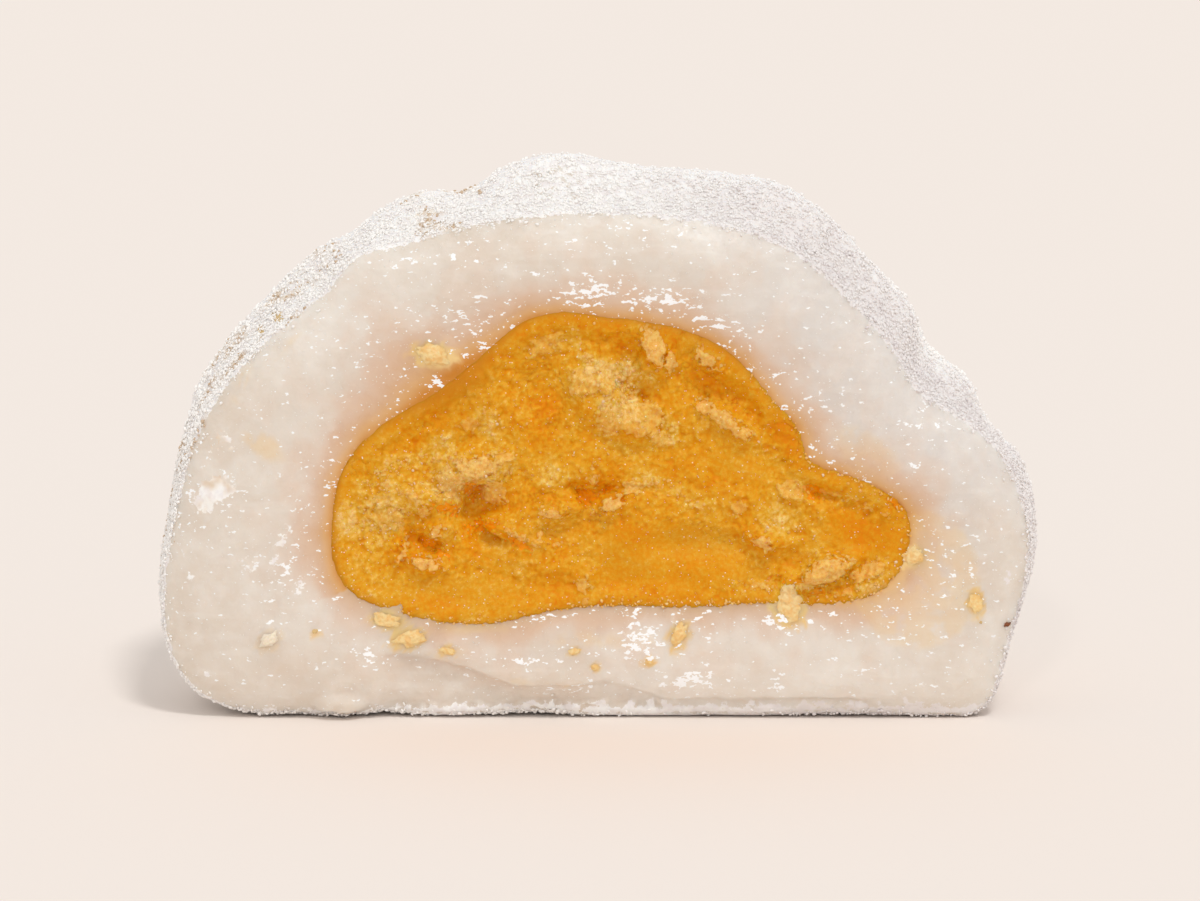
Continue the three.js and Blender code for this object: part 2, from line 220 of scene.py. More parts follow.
# Crumbs standing up from the paste: height and paleness.
FLAKES = patches(
    (-7.1, 15.4, 1.41, 0.76, 5, 0.35, 0.95), (-8.7, 14.3, 0.94, 0.88, 30, 0.28, 0.8),
    (-6.1, 13.7, 0.76, 1.0, 0, 0.22, 0.55), (-4.7, 11.2, 1.59, 0.26, -28, 0.3, 0.75),
    (-9.5, 11.5, 0.65, 0.41, 45, 0.35, 0.85), (-11.5, 10.3, 0.94, 0.29, 72, 0.35, 0.9),
    (-10.1, 9.5, 1.12, 0.47, -15, 0.3, 0.95), (-10.3, 12.6, 0.53, 0.53, 0, 0.2, 0.6),
    (-12.4, 12.2, 1.53, 0.71, -20, 0.18, 0.4), (-3.4, 11.3, 0.24, 0.35, 0, 0.25, 0.8),
    (-2.6, 12.5, 1.0, 0.35, -5, 0.3, 0.85), (-2.5, 10.6, 0.41, 0.29, -20, 0.2, 0.6),
    (0.8, 13.1, 1.06, 0.47, 35, 0.3, 0.95), (-0.2, 14.6, 0.26, 0.76, 0, 0.25, 0.75),
    (2.8, 14.2, 1.18, 0.29, 8, 0.22, 0.8), (-0.1, 20.6, 1.76, 1.0, 10, 0.25, 0.45),
    (0.7, 18.0, 0.88, 1.06, 0, 0.22, 0.5), (2.5, 18.2, 1.53, 1.18, -15, 0.25, 0.5),
    (-1.5, 19.8, 0.35, 0.29, 0, 0.3, 0.8), (2.2, 19.7, 0.35, 0.24, 0, 0.25, 0.75),
    (3.3, 22.6, 0.76, 1.53, 20, 0.4, 0.9), (4.3, 21.6, 0.47, 0.94, 10, 0.35, 0.85),
    (-2.9, 18.2, 0.18, 0.18, 0, 0.25, 0.8), (-3.1, 22.6, 1.29, 0.65, 30, 0.15, 0.4),
    (-11.0, 13.8, 0.53, 0.24, -35, 0.2, 0.65), (-0.9, 8.2, 0.59, 0.53, 30, 0.18, 0.6),
    (-0.8, 7.2, 0.24, 0.35, 0, 0.2, 0.7), (6.0, 22.2, 0.29, 0.59, -10, 0.35, 0.85),
    (6.5, 21.6, 0.88, 0.47, -25, 0.35, 0.85), (6.2, 18.8, 0.53, 0.53, 0, 0.35, 0.85),
    (7.5, 18.1, 1.59, 0.59, -35, 0.38, 0.9), (8.6, 17.4, 0.59, 0.47, -30, 0.3, 0.8),
    (8.3, 12.9, 0.59, 0.53, 0, 0.15, 0.45), (11.4, 13.9, 0.94, 0.65, -15, 0.2, 0.45),
    (9.6, 10.9, 0.82, 0.47, -10, 0.28, 0.95), (10.0, 10.5, 0.35, 0.47, 0, 0.25, 0.9),
    (13.5, 9.1, 1.71, 0.88, 25, 0.4, 0.9), (12.3, 8.2, 0.71, 0.47, 20, 0.3, 0.8),
    (9.5, 8.1, 1.18, 0.29, -5, 0.2, 0.6), (15.9, 9.0, 1.41, 0.53, 25, 0.25, 0.65),
    (16.5, 7.9, 0.94, 0.41, 10, 0.22, 0.6), (14.6, 7.8, 0.59, 0.35, 0, 0.2, 0.55),
    (15.9, 12.8, 2.24, 0.18, -14, 0.2, 0.55), (2.0, 14.1, 0.76, 0.41, 0, 0.2, 0.7),
    (5.7, 13.1, 1.41, 0.18, -35, 0.1, 0.35), (14.0, 13.6, 1.53, 0.24, -10, 0.15, 0.4),
    (-5.5, 16.0, 0.71, 0.47, 0, 0.15, 0.5), (-7.5, 17.8, 0.94, 0.47, 10, 0.12, 0.4),
    (-12.8, 13.3, 0.82, 0.47, 0, 0.12, 0.4), (3.7, 16.9, 0.71, 0.47, -20, 0.15, 0.5),
)

# Torn holes and cracks in the paste: depth and redness.
PITS = patches(
    (-7.4, 13.8, 0.59, 0.82, 15, 0.7, 0.8), (-8.9, 12.8, 0.88, 0.47, -15, 0.7, 0.85),
    (-6.7, 11.7, 1.12, 0.41, 12, 0.8, 1.0), (-10.1, 10.7, 1.0, 0.35, -8, 0.7, 0.85),
    (-9.3, 10.1, 0.65, 0.29, -20, 0.6, 0.8), (-4.6, 10.7, 0.82, 0.41, -30, 0.5, 0.8),
    (-0.7, 13.4, 0.76, 0.53, -10, 0.8, 0.85), (0.5, 13.8, 0.53, 0.29, 20, 0.6, 0.75),
    (-8.7, 15.8, 0.29, 0.18, 0, 0.35, 0.6), (-7.2, 17.7, 0.29, 0.29, 0, 0.3, 0.4),
    (-3.1, 19.6, 1.18, 2.0, 10, 0.2, 0.5), (1.3, 22.2, 1.41, 1.29, 0, 0.06, 0.3),
    (-4.8, 14.6, 0.82, 0.76, 0, 0.2, 0.45), (-0.6, 12.3, 0.82, 0.47, 0, 0.2, 0.5),
    (12.7, 13.8, 0.71, 0.47, -10, 0.6, 0.8), (17.6, 13.2, 0.88, 0.47, -40, 0.6, 0.75),
    (10.9, 8.4, 0.71, 0.24, -5, 0.6, 0.8), (12.9, 7.8, 0.94, 0.29, 8, 0.4, 0.6),
    (6.3, 20.2, 2.0, 0.71, -35, 0.1, 0.4), (5.4, 22.9, 0.59, 0.82, 0, 0.15, 0.4),
    (10.7, 16.8, 1.29, 1.29, -40, 0.15, 0.45), (2.5, 14.1, 1.59, 0.09, 4, 0.4, 0.8),
    (6.9, 11.2, 1.53, 0.35, -30, 0.12, 0.4), (-7.9, 16.9, 0.47, 0.24, 0, 0.2, 0.4),
    (9.9, 11.3, 0.53, 0.08, 25, 0.4, 0.8), (-3.1, 13.4, 1.06, 0.41, -10, 0.3, 0.6),
    (-11.7, 11.7, 0.59, 0.29, -20, 0.25, 0.6), (-13.9, 15.1, 0.59, 1.06, 35, 0.15, 0.4),
)

# Where the knife pressed the paste smooth.
PRESSED = patches(
    (4.3, 9.7, 5.18, 2.47, -3), (15.9, 10.9, 3.06, 1.76, -8), (-8.4, 7.3, 6.18, 1.29, 3),
    (8.1, 15.1, 2.35, 1.41, 0),
)

# Dry, paler stretches of the paste: strength.
CRUMBLY = patches(
    (0.8, 20.2, 5.0, 1.76, -45, 0.3), (3.2, 17.8, 2.12, 1.29, -10, 0.28),
    (-9.9, 14.4, 5.88, 2.59, 18, 0.22), (-13.3, 12.0, 2.59, 2.35, 0, 0.2),
    (-5.8, 17.8, 3.65, 1.53, 30, 0.2), (10.9, 12.0, 3.53, 1.18, -10, 0.16),
    (-2.2, 15.2, 3.65, 1.53, 0, 0.12), (5.4, 13.3, 2.94, 0.82, -25, 0.14),
    (-7.5, 10.6, 2.94, 0.94, -10, 0.15), (-2.2, 22.6, 2.35, 0.94, 20, 0.2),
    (16.1, 8.2, 2.35, 0.94, 20, 0.25), (9.5, 16.3, 1.53, 1.06, -40, 0.12),
    (-8.0, 6.2, 5.5, 0.9, 2, 0.12),
)

# Moist, deeper stretches of the paste: strength.
AMBER = patches(
    (-4.3, 23.3, 2.12, 0.82, 12, 0.15), (-3.1, 19.3, 1.53, 2.12, 15, 0.2),
    (1.6, 22.6, 1.65, 1.29, 0, 0.2), (6.7, 20.2, 3.06, 1.18, -38, 0.22),
    (11.0, 16.9, 1.76, 1.53, -40, 0.2), (-9.3, 6.9, 5.0, 0.82, 3, 0.18),
    (2.5, 10.9, 3.53, 1.18, -15, 0.14), (16.0, 11.5, 2.94, 1.65, -12, 0.14),
    (7.2, 9.7, 2.94, 1.29, -10, 0.1), (5.4, 7.3, 3.53, 0.59, 0, 0.12),
    (-10.5, 16.9, 3.53, 0.59, 38, 0.15), (-4.6, 15.1, 1.41, 1.06, 0, 0.15),
    (-0.5, 11.5, 1.53, 0.94, 0, 0.1), (8.1, 10.6, 2.12, 0.71, -25, 0.14),
    (17.5, 13.0, 1.18, 0.82, -35, 0.2),
)


class CrumbKind(Enum):
    """What a stray crumb looks like: its sugar bloom, its toasting and how it stains the dough."""

    PLUMP = (0.0, 0.0, 1.0)
    SUGARED = (0.8, 0.0, 0.3)
    TOASTED = (0.0, 0.9, 0.8)


# Crumbs on the dough: height and kind.
CRUMBS = tuple((Patch(*row), CrumbKind[kind]) for *row, kind in (
    (-9.7, 22.1, 1.24, 0.65, -15, 0.55, "PLUMP"), (11.3, 7.1, 0.82, 1.12, 8, 0.75, "PLUMP"),
    (-12.5, 6.1, 1.0, 0.47, -10, 0.45, "PLUMP"), (-11.1, 5.0, 1.06, 0.53, 12, 0.5, "PLUMP"),
    (-19.4, 5.0, 0.76, 0.41, 38, 0.45, "SUGARED"), (4.8, 5.3, 0.53, 0.82, -20, 0.4, "PLUMP"),
    (18.6, 9.9, 0.76, 0.59, 20, 0.45, "PLUMP"), (22.3, 7.2, 0.47, 0.71, 10, 0.3, "PLUMP"),
    (-18.9, 23.8, 0.47, 0.29, 20, 0.3, "TOASTED"), (-19.9, 23.0, 0.26, 0.24, 0, 0.25, "TOASTED"),
    (-8.9, 4.3, 0.53, 0.29, -10, 0.25, "PLUMP"), (-1.4, 4.3, 0.47, 0.24, 10, 0.2, "PLUMP"),
    (-0.2, 3.3, 0.29, 0.21, 0, 0.25, "PLUMP"), (-16.7, 5.5, 0.24, 0.18, 0, 0.15, "TOASTED"),
    (3.0, 3.6, 0.29, 0.18, 0, 0.2, "PLUMP"), (22.6, 6.0, 0.12, 0.12, 0, 0.2, "TOASTED"),
))

# Stains of paste on the dough: strength.
STAINS = patches(
    (-8.9, 4.4, 1.53, 0.53, -12, 0.6), (-1.4, 4.3, 1.29, 0.53, 12, 0.5),
    (-19.8, 16.7, 1.53, 0.94, -30, 0.35), (22.4, 6.6, 0.59, 1.41, 5, 0.7),
    (-3.4, 2.3, 2.0, 0.24, -6, 0.6), (-9.9, 4.1, 2.12, 0.35, -20, 0.4),
    (-12.3, 5.8, 1.76, 0.71, -8, 0.5), (4.8, 4.9, 0.76, 1.06, -20, 0.5),
    (19.3, 9.7, 1.29, 0.94, 15, 0.5), (-18.1, 22.6, 1.53, 0.29, 48, 0.35),
    (-21.0, 20.2, 0.59, 2.35, -20, 0.3), (14.8, 21.4, 0.29, 0.18, 0, 0.4),
    (0.1, 4.9, 3.53, 0.71, 0, 0.25), (11.3, 6.6, 1.29, 0.82, 0, 0.35),
    (-9.7, 21.9, 1.65, 0.82, -15, 0.4), (-7.6, 5.6, 3.53, 0.41, 3, 0.35),
    (18.8, 8.6, 4.0, 4.4, 0, 0.28), (15.6, 16.4, 2.6, 1.4, -30, 0.2),
)

# Starch carried onto the cut: strength.
SMEARS = patches(
    (-22.7, 13.6, 1.8, 1.1, 35, 1.0), (-23.7, 12.6, 0.94, 0.53, 0, 0.8),
    (-21.5, 14.4, 1.29, 0.47, 15, 0.5), (-18.8, 10.6, 0.71, 2.0, -25, 0.55),
    (-17.8, 7.9, 0.53, 0.82, -15, 0.4), (-23.1, 2.7, 1.18, 0.41, 5, 0.8),
    (-21.7, 3.4, 0.71, 0.35, 20, 0.4), (18.8, 0.9, 1.18, 0.35, 0, 0.8), (16.7, 1.0, 0.59, 0.29, 0, 0.5),
    (24.3, 8.7, 0.53, 0.71, 10, 0.8), (23.8, 4.6, 0.35, 0.53, 0, 0.6),
    (-22.1, 16.9, 0.82, 0.94, 30, 0.35), (-24.3, 9.7, 0.47, 1.76, 5, 0.45),
    (-20.5, 9.7, 0.82, 1.53, -20, 0.25),
)

# The lower edge of the fold dragged across the foot of the cut: x and z.
FOLD = ((-12.1, 4.1), (-9.9, 3.8), (-7.6, 3.2), (-4.9, 2.1), (-2.2, 2.2), (0.7, 2.4), (2.5, 1.8),
        (4.0, 1.2), (9.6, 1.3), (15.5, 1.2))

# Wet patches of the cut: how much moisture each holds.
WET = patches(
    (-0.5, 25.7, 1.88, 0.94, 0, 60), (3.6, 25.4, 2.59, 0.71, 0, 54), (6.9, 23.9, 1.41, 0.59, -15, 40),
    (-7.5, 24.1, 2.0, 1.18, 0, 28.8), (-10.7, 24.8, 1.06, 0.53, 0, 11.2),
    (-9.4, 20.4, 0.53, 0.41, 0, 11), (-3.4, 6.2, 1.29, 0.29, 8, 18), (2.5, 4.9, 1.18, 1.18, 0, 91),
    (1.8, 4.6, 0.59, 0.71, 0, 60), (5.2, 2.6, 2.12, 0.65, 0, 54), (10.6, 5.9, 1.06, 0.41, -15, 26),
    (-4.0, 3.8, 1.76, 0.53, 0, 19.6), (-13.7, 4.1, 0.82, 0.47, -30, 21.6),
    (10.6, 2.4, 0.41, 0.53, 0, 16.2), (8.0, 20.8, 3.29, 1.53, -20, 40),
    (11.9, 19.0, 1.76, 1.06, 0, 20.8), (-5.7, 22.6, 2.35, 1.18, 0, 25.2),
    (-2.2, 27.3, 3.53, 0.94, 0, 18), (2.5, 29.1, 5.29, 0.94, 0, 13), (14.2, 15.1, 2.94, 1.41, -30, 21),
    (-18.8, 8.8, 1.41, 2.0, -30, 40), (-22.7, 13.5, 2.0, 1.18, 25, 48),
    (19.5, 18.1, 2.35, 2.35, 0, 12), (7.2, 6.4, 3.53, 0.82, 0, 12), (-15.8, 15.1, 1.76, 3.53, 0, 8),
    (15.5, 6.1, 3.53, 1.41, 0, 13), (-8.7, 28.2, 3.53, 1.18, 15, 9.6), (-14.0, 22.3, 2.35, 2.35, 30, 8),
    (-2.2, 1.8, 3.53, 0.47, 0, 8.4), (21.4, 9.7, 1.76, 2.94, 0, 8.4), (3.4, 3.9, 3.53, 1.41, 0, 24),
)


# ---------------------------------------------------------------- mesh tools


def deselect_all() -> None:
    """Leaves object mode with nothing selected."""
    if bpy.context.mode != "OBJECT":
        bpy.ops.object.mode_set(mode="OBJECT")
    bpy.ops.object.select_all(action="DESELECT")


def make_active(piece: Object) -> None:
    """Selects one piece alone and makes it active."""
    deselect_all()
    piece.select_set(True)
    bpy.context.view_layer.objects.active = piece


def ball(detail: int, radius: float) -> Object:
    """Adds an ico sphere at the origin, selected alone.

    Args:
        detail: How many times its faces are divided.
        radius: Its radius, in millimetres.

    Returns:
        The sphere.
    """
    deselect_all()
    bpy.ops.mesh.primitive_ico_sphere_add(subdivisions=detail, radius=radius * MM)
    return bpy.context.object


def apply_modifier(piece: Object, kind: str, **settings: object) -> None:
    """Adds a modifier and applies it.

    Args:
        piece: The piece it shapes.
        kind: The modifier's type.
        **settings: Its settings by name.
    """
    make_active(piece)
    modifier = piece.modifiers.new(kind.lower(), kind)
    for name, value in settings.items():
        setattr(modifier, name, value)
    bpy.ops.object.modifier_apply(modifier=modifier.name)


def vertex_places(piece: Object) -> np.ndarray:
    """The vertices of a piece in millimetres, one row each."""
    places = np.empty(len(piece.data.vertices) * 3, np.float32)
    piece.data.vertices.foreach_get("co", places)
    return places.reshape(-1, 3).astype(float) / MM


def vertex_normals(piece: Object) -> np.ndarray:
    """The outward directions at the vertices of a piece, one row each."""
    normals = np.empty(len(piece.data.vertices) * 3, np.float32)
    piece.data.vertex_normals.foreach_get("vector", normals)
    return normals.reshape(-1, 3).astype(float)


def move_vertices(piece: Object, places: np.ndarray) -> None:
    """Puts the vertices of a piece at new places, in millimetres."""
    piece.data.vertices.foreach_set("co", (places * MM).astype(np.float32).ravel())
    piece.data.update()


def store(piece: Object, name: str, values: np.ndarray) -> None:
    """Keeps a number at each vertex for the material to read.

    Args:
        piece: The piece.
        name: The attribute's name.
        values: One number for each vertex.
    """
    attribute = piece.data.attributes.new(name, "FLOAT", "POINT")
    attribute.data.foreach_set("value", values.astype(np.float32))


def solid_copy(source: Object, name: str) -> Object:
    """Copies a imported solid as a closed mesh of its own.

    Args:
        source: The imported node.
        name: Name of the copy.

    Returns:
        The copy, its loose triangles merged.
    """
    piece = bpy.data.objects.new(name, source.data.copy())
    bpy.context.scene.collection.objects.link(piece)
    piece.data.materials.clear()
    make_active(piece)
    bpy.ops.object.mode_set(mode="EDIT")
    bpy.ops.mesh.select_all(action="SELECT")
    bpy.ops.mesh.remove_doubles(threshold=0.001 * MM)
    bpy.ops.object.mode_set(mode="OBJECT")
    return piece


def refine(piece: Object, chosen: np.ndarray, cuts: int) -> None:
    """Subdivides the faces whose vertices are all chosen.

    Args:
        piece: The piece.
        chosen: True for each chosen vertex.
        cuts: Cuts across each face.
    """
    make_active(piece)
    bpy.ops.object.mode_set(mode="EDIT")
    bpy.ops.mesh.select_all(action="DESELECT")
    bpy.ops.mesh.select_mode(type="FACE")
    bpy.ops.object.mode_set(mode="OBJECT")
    faces = [all(chosen[v] for v in face.vertices) for face in piece.data.polygons]
    piece.data.polygons.foreach_set("select", faces)
    bpy.ops.object.mode_set(mode="EDIT")
    bpy.ops.mesh.subdivide(number_cuts=cuts)
    bpy.ops.object.mode_set(mode="OBJECT")


def smooth_look(piece: Object) -> None:
    """Shades all faces of a piece smoothly."""
    make_active(piece)
    bpy.ops.object.shade_smooth()


def spread_value(piece: Object, values: np.ndarray, rounds: int) -> np.ndarray:
    """Lets a number at each vertex spread to its neighbours.

    Args:
        piece: The piece.
        values: One number for each vertex.
        rounds: How many times it spreads.

    Returns:
        The softened numbers.
    """
    ends = np.empty(len(piece.data.edges) * 2, np.int32)
    piece.data.edges.foreach_get("vertices", ends)
    first, second = ends.reshape(-1, 2).T
    count = np.bincount(ends, minlength=len(values)) + 1.0
    for _ in range(rounds):
        values = (values + np.bincount(first, values[second], len(values))
                  + np.bincount(second, values[first], len(values))) / count
    return values


def surface_of(piece: Object) -> BVHTree:
    """The surface of a piece, in metres, for finding places on it."""
    return BVHTree.FromObject(piece, bpy.context.evaluated_depsgraph_get())


def level_at(surfaces: Iterable[BVHTree], x: float, z: float) -> float:
    """Where the front of some surfaces stands, along y.

    Args:
        surfaces: The surfaces, in metres.
        x: Place across, in millimetres.
        z: Height, in millimetres.

    Returns:
        The y of the front-most one, in millimetres.
    """
    start = Vector((x, CUT_PLANE - 8, z)) * MM
    hits = [surface.ray_cast(start, Vector((0, 1, 0)))[0] for surface in surfaces]
    return min(hit.y for hit in hits if hit is not None) / MM


class Rim:
    """The outline of the paste on the cut, kept as its reach from HEART at each angle."""

    spread = 0.3  # how much wider the paste is just behind the cut

    def __init__(self, paste: Object) -> None:
        """Measures the outline on a mesh of the paste.

        Args:
            paste: The paste, before its cut is refined.
        """
        places = vertex_places(paste)
        angle, reach = around_heart(places[places[:, 1] < CUT_PLANE + 1.3])
        sector = (angle / 3).astype(int)
        outer = np.array([reach[sector == number].max() for number in range(120)])
        self.reach = (np.roll(outer, 1) + 2 * outer + np.roll(outer, -1)) / 4 - self.spread
        self.angles = np.arange(120) * 3 + 1.5
        line = self.points(np.arange(0, 360, 0.25), 0.0)
        self.tree = KDTree(len(line))
        for number, point in enumerate(line):
            self.tree.insert(point, number)
        self.tree.balance()

    def points(self, angles: np.ndarray, beyond: float) -> np.ndarray:
        """Places at these angles that lie a given distance beyond the outline, at y = 0."""
        reach = np.interp(angles, self.angles, self.reach, period=360) + beyond
        turn = np.radians(angles)
        return np.stack((HEART[0] + reach * np.cos(turn), np.zeros(len(angles)),
                         HEART[1] + reach * np.sin(turn)), axis=1)

    def inside(self, points: np.ndarray) -> np.ndarray:
        """How far inside the outline each place is, seen from the front, and less than 0 outside."""
        angle, reach = around_heart(points)
        away = np.array([self.tree.find((x, 0, z))[2] for x, _, z in points])
        return np.where(reach < np.interp(angle, self.angles, self.reach, period=360), away, -away)


@dataclass
class Spots:
    """Places on a surface for small things to lie.

    Attributes:
        places: Where, one row each.
        normals: The surface's outward directions there.
        weight: How thickly things lie there.
    """

    places: np.ndarray
    normals: np.ndarray
    weight: np.ndarray


def pick_spots(piece: Object, count: int, weight: np.ndarray, seed: int) -> Spots:
    """Picks random places on a piece.

    Args:
        piece: The piece.
        count: How many.
        weight: How thickly they lie at each vertex.
        seed: Picks another scatter.

    Returns:
        The places and their normals.
    """
    mesh = piece.data
    mesh.calc_loop_triangles()
    corners = np.empty(len(mesh.loop_triangles) * 3, np.int32)
    mesh.loop_triangles.foreach_get("vertices", corners)
    corners = corners.reshape(-1, 3)
    places, normals = vertex_places(piece), vertex_normals(piece)
    a, b, c = (places[corners[:, i]] for i in range(3))
    area = np.linalg.norm(np.cross(b - a, c - a), axis=1)
    chance = area * weight[corners].mean(axis=1)
    draw = np.random.default_rng(seed)
    chosen = draw.choice(len(corners), size=count, p=chance / chance.sum())
    share = draw.dirichlet((1, 1, 1), size=count)[:, :, None]
    return Spots((places[corners[chosen]] * share).sum(axis=1),
                 (normals[corners[chosen]] * share).sum(axis=1), weight[corners[chosen]].mean(axis=1))


def spread(name: str, seeds: list[Object], spots: Spots, sizes: np.ndarray,
           lift: float, seed: int) -> tuple[Object, np.ndarray]:
    """Lays many copies of a few small seed shapes on a surface, as one mesh.

    Args:
        name: Name of the joined piece.
        seeds: The shapes, a millimetre across, flat ways up; they are used up.
        spots: Where the copies lie.
        sizes: Length, width and height of each copy, one row each.
        lift: Share of its height that a copy's middle stands off the surface.
        seed: Picks other turns.

    Returns:
        The piece, and the number of the copy that each vertex belongs to.
    """
    draw = np.random.default_rng(seed)
    up = spots.normals / np.linalg.norm(spots.normals, axis=1, keepdims=True)
    along = np.cross(up, draw.normal(size=up.shape))
    along /= np.linalg.norm(along, axis=1, keepdims=True)
    frames = np.stack((along, np.cross(up, along), up), axis=1) * sizes[:, :, None]
    places = spots.places + up * (sizes[:, 2:] * lift)
    rows, faces, owners, start = [], [], [], 0
    for number, shape in enumerate(seeds):
        chosen = np.arange(number, len(places), len(seeds))
        form = vertex_places(shape)
        corners = np.array([list(face.vertices) for face in shape.data.polygons])
        rows.append((np.einsum("kj,njd->nkd", form, frames[chosen])
                     + places[chosen][:, None]).reshape(-1, 3))
        shift = start + np.arange(len(chosen))[:, None, None] * len(form)
        faces.append((corners[None] + shift).reshape(-1, 3))
        owners.append(np.repeat(chosen, len(form)))
        start += len(chosen) * len(form)
        bpy.data.objects.remove(shape)
    mesh = bpy.data.meshes.new(name)
    mesh.from_pydata(np.vstack(rows) * MM, [], np.vstack(faces).tolist())
    piece = bpy.data.objects.new(name, mesh)
    bpy.context.scene.collection.objects.link(piece)
    smooth_look(piece)
    return piece, np.concatenate(owners)


def draw_sizes(draw: np.random.Generator, length: np.ndarray, width: tuple[float, float],
               height: tuple[float, float]) -> np.ndarray:
    """Draws the sizes of small scattered things.

    Args:
        draw: Where the random numbers come from.
        length: The length of each.
        width: Lowest and highest width, as a share of the length.
        height: Lowest and highest height, as a share of the length.

    Returns:
        Length, width and height of each, one row each.
    """
    return np.stack((length, length * draw.uniform(*width, len(length)),
                     length * draw.uniform(*height, len(length))), axis=1)


def seed_shapes(rough: float, seed: int) -> list[Object]:
    """Models five small rough lumps, a millimetre across.

    Args:
        rough: Millimetres that their corners are moved.
        seed: Picks other lumps.

    Returns:
        The lumps at the origin.
    """
    lumps = []
    for number in range(5):
        lumps.append(ball(1, 0.5))
        bpy.ops.object.mode_set(mode="EDIT")
        bpy.ops.mesh.select_all(action="SELECT")
        bpy.ops.transform.vertex_random(offset=rough * MM, seed=seed + number)
        bpy.ops.object.mode_set(mode="OBJECT")
    return lumps


# ---------------------------------------------------------------- node tools


def add_node(tree: NodeTree, kind: str, settings: dict[str | int, object] | None = None,
             links: dict[str | int, NodeSocket] | None = None) -> Node:
    """Adds a node with its settings and links.

    Args:
        tree: The material's or world's node tree.
        kind: The node's type.
        settings: Properties by name, input values by the input's name or number, and "ramp" for a
            colour ramp's stops as (place, colour) pairs.
        links: Sockets that feed its inputs, by the input's name or number.

    Returns:
        The node.
    """
    node = tree.nodes.new(kind)
    for key, value in (settings or {}).items():
        if key == "ramp":
            stops = node.color_ramp.elements
            while len(stops) < len(value):
                stops.new(0.5)
            for stop, (place, colour) in zip(stops, value):
                stop.position, stop.color = place, linear(colour)
        elif isinstance(key, str) and hasattr(node, key):
            setattr(node, key, value)
        else:
            node.inputs[key].default_value = value
    for key, source in (links or {}).items():
        tree.links.new(source, node.inputs[key])
    return node


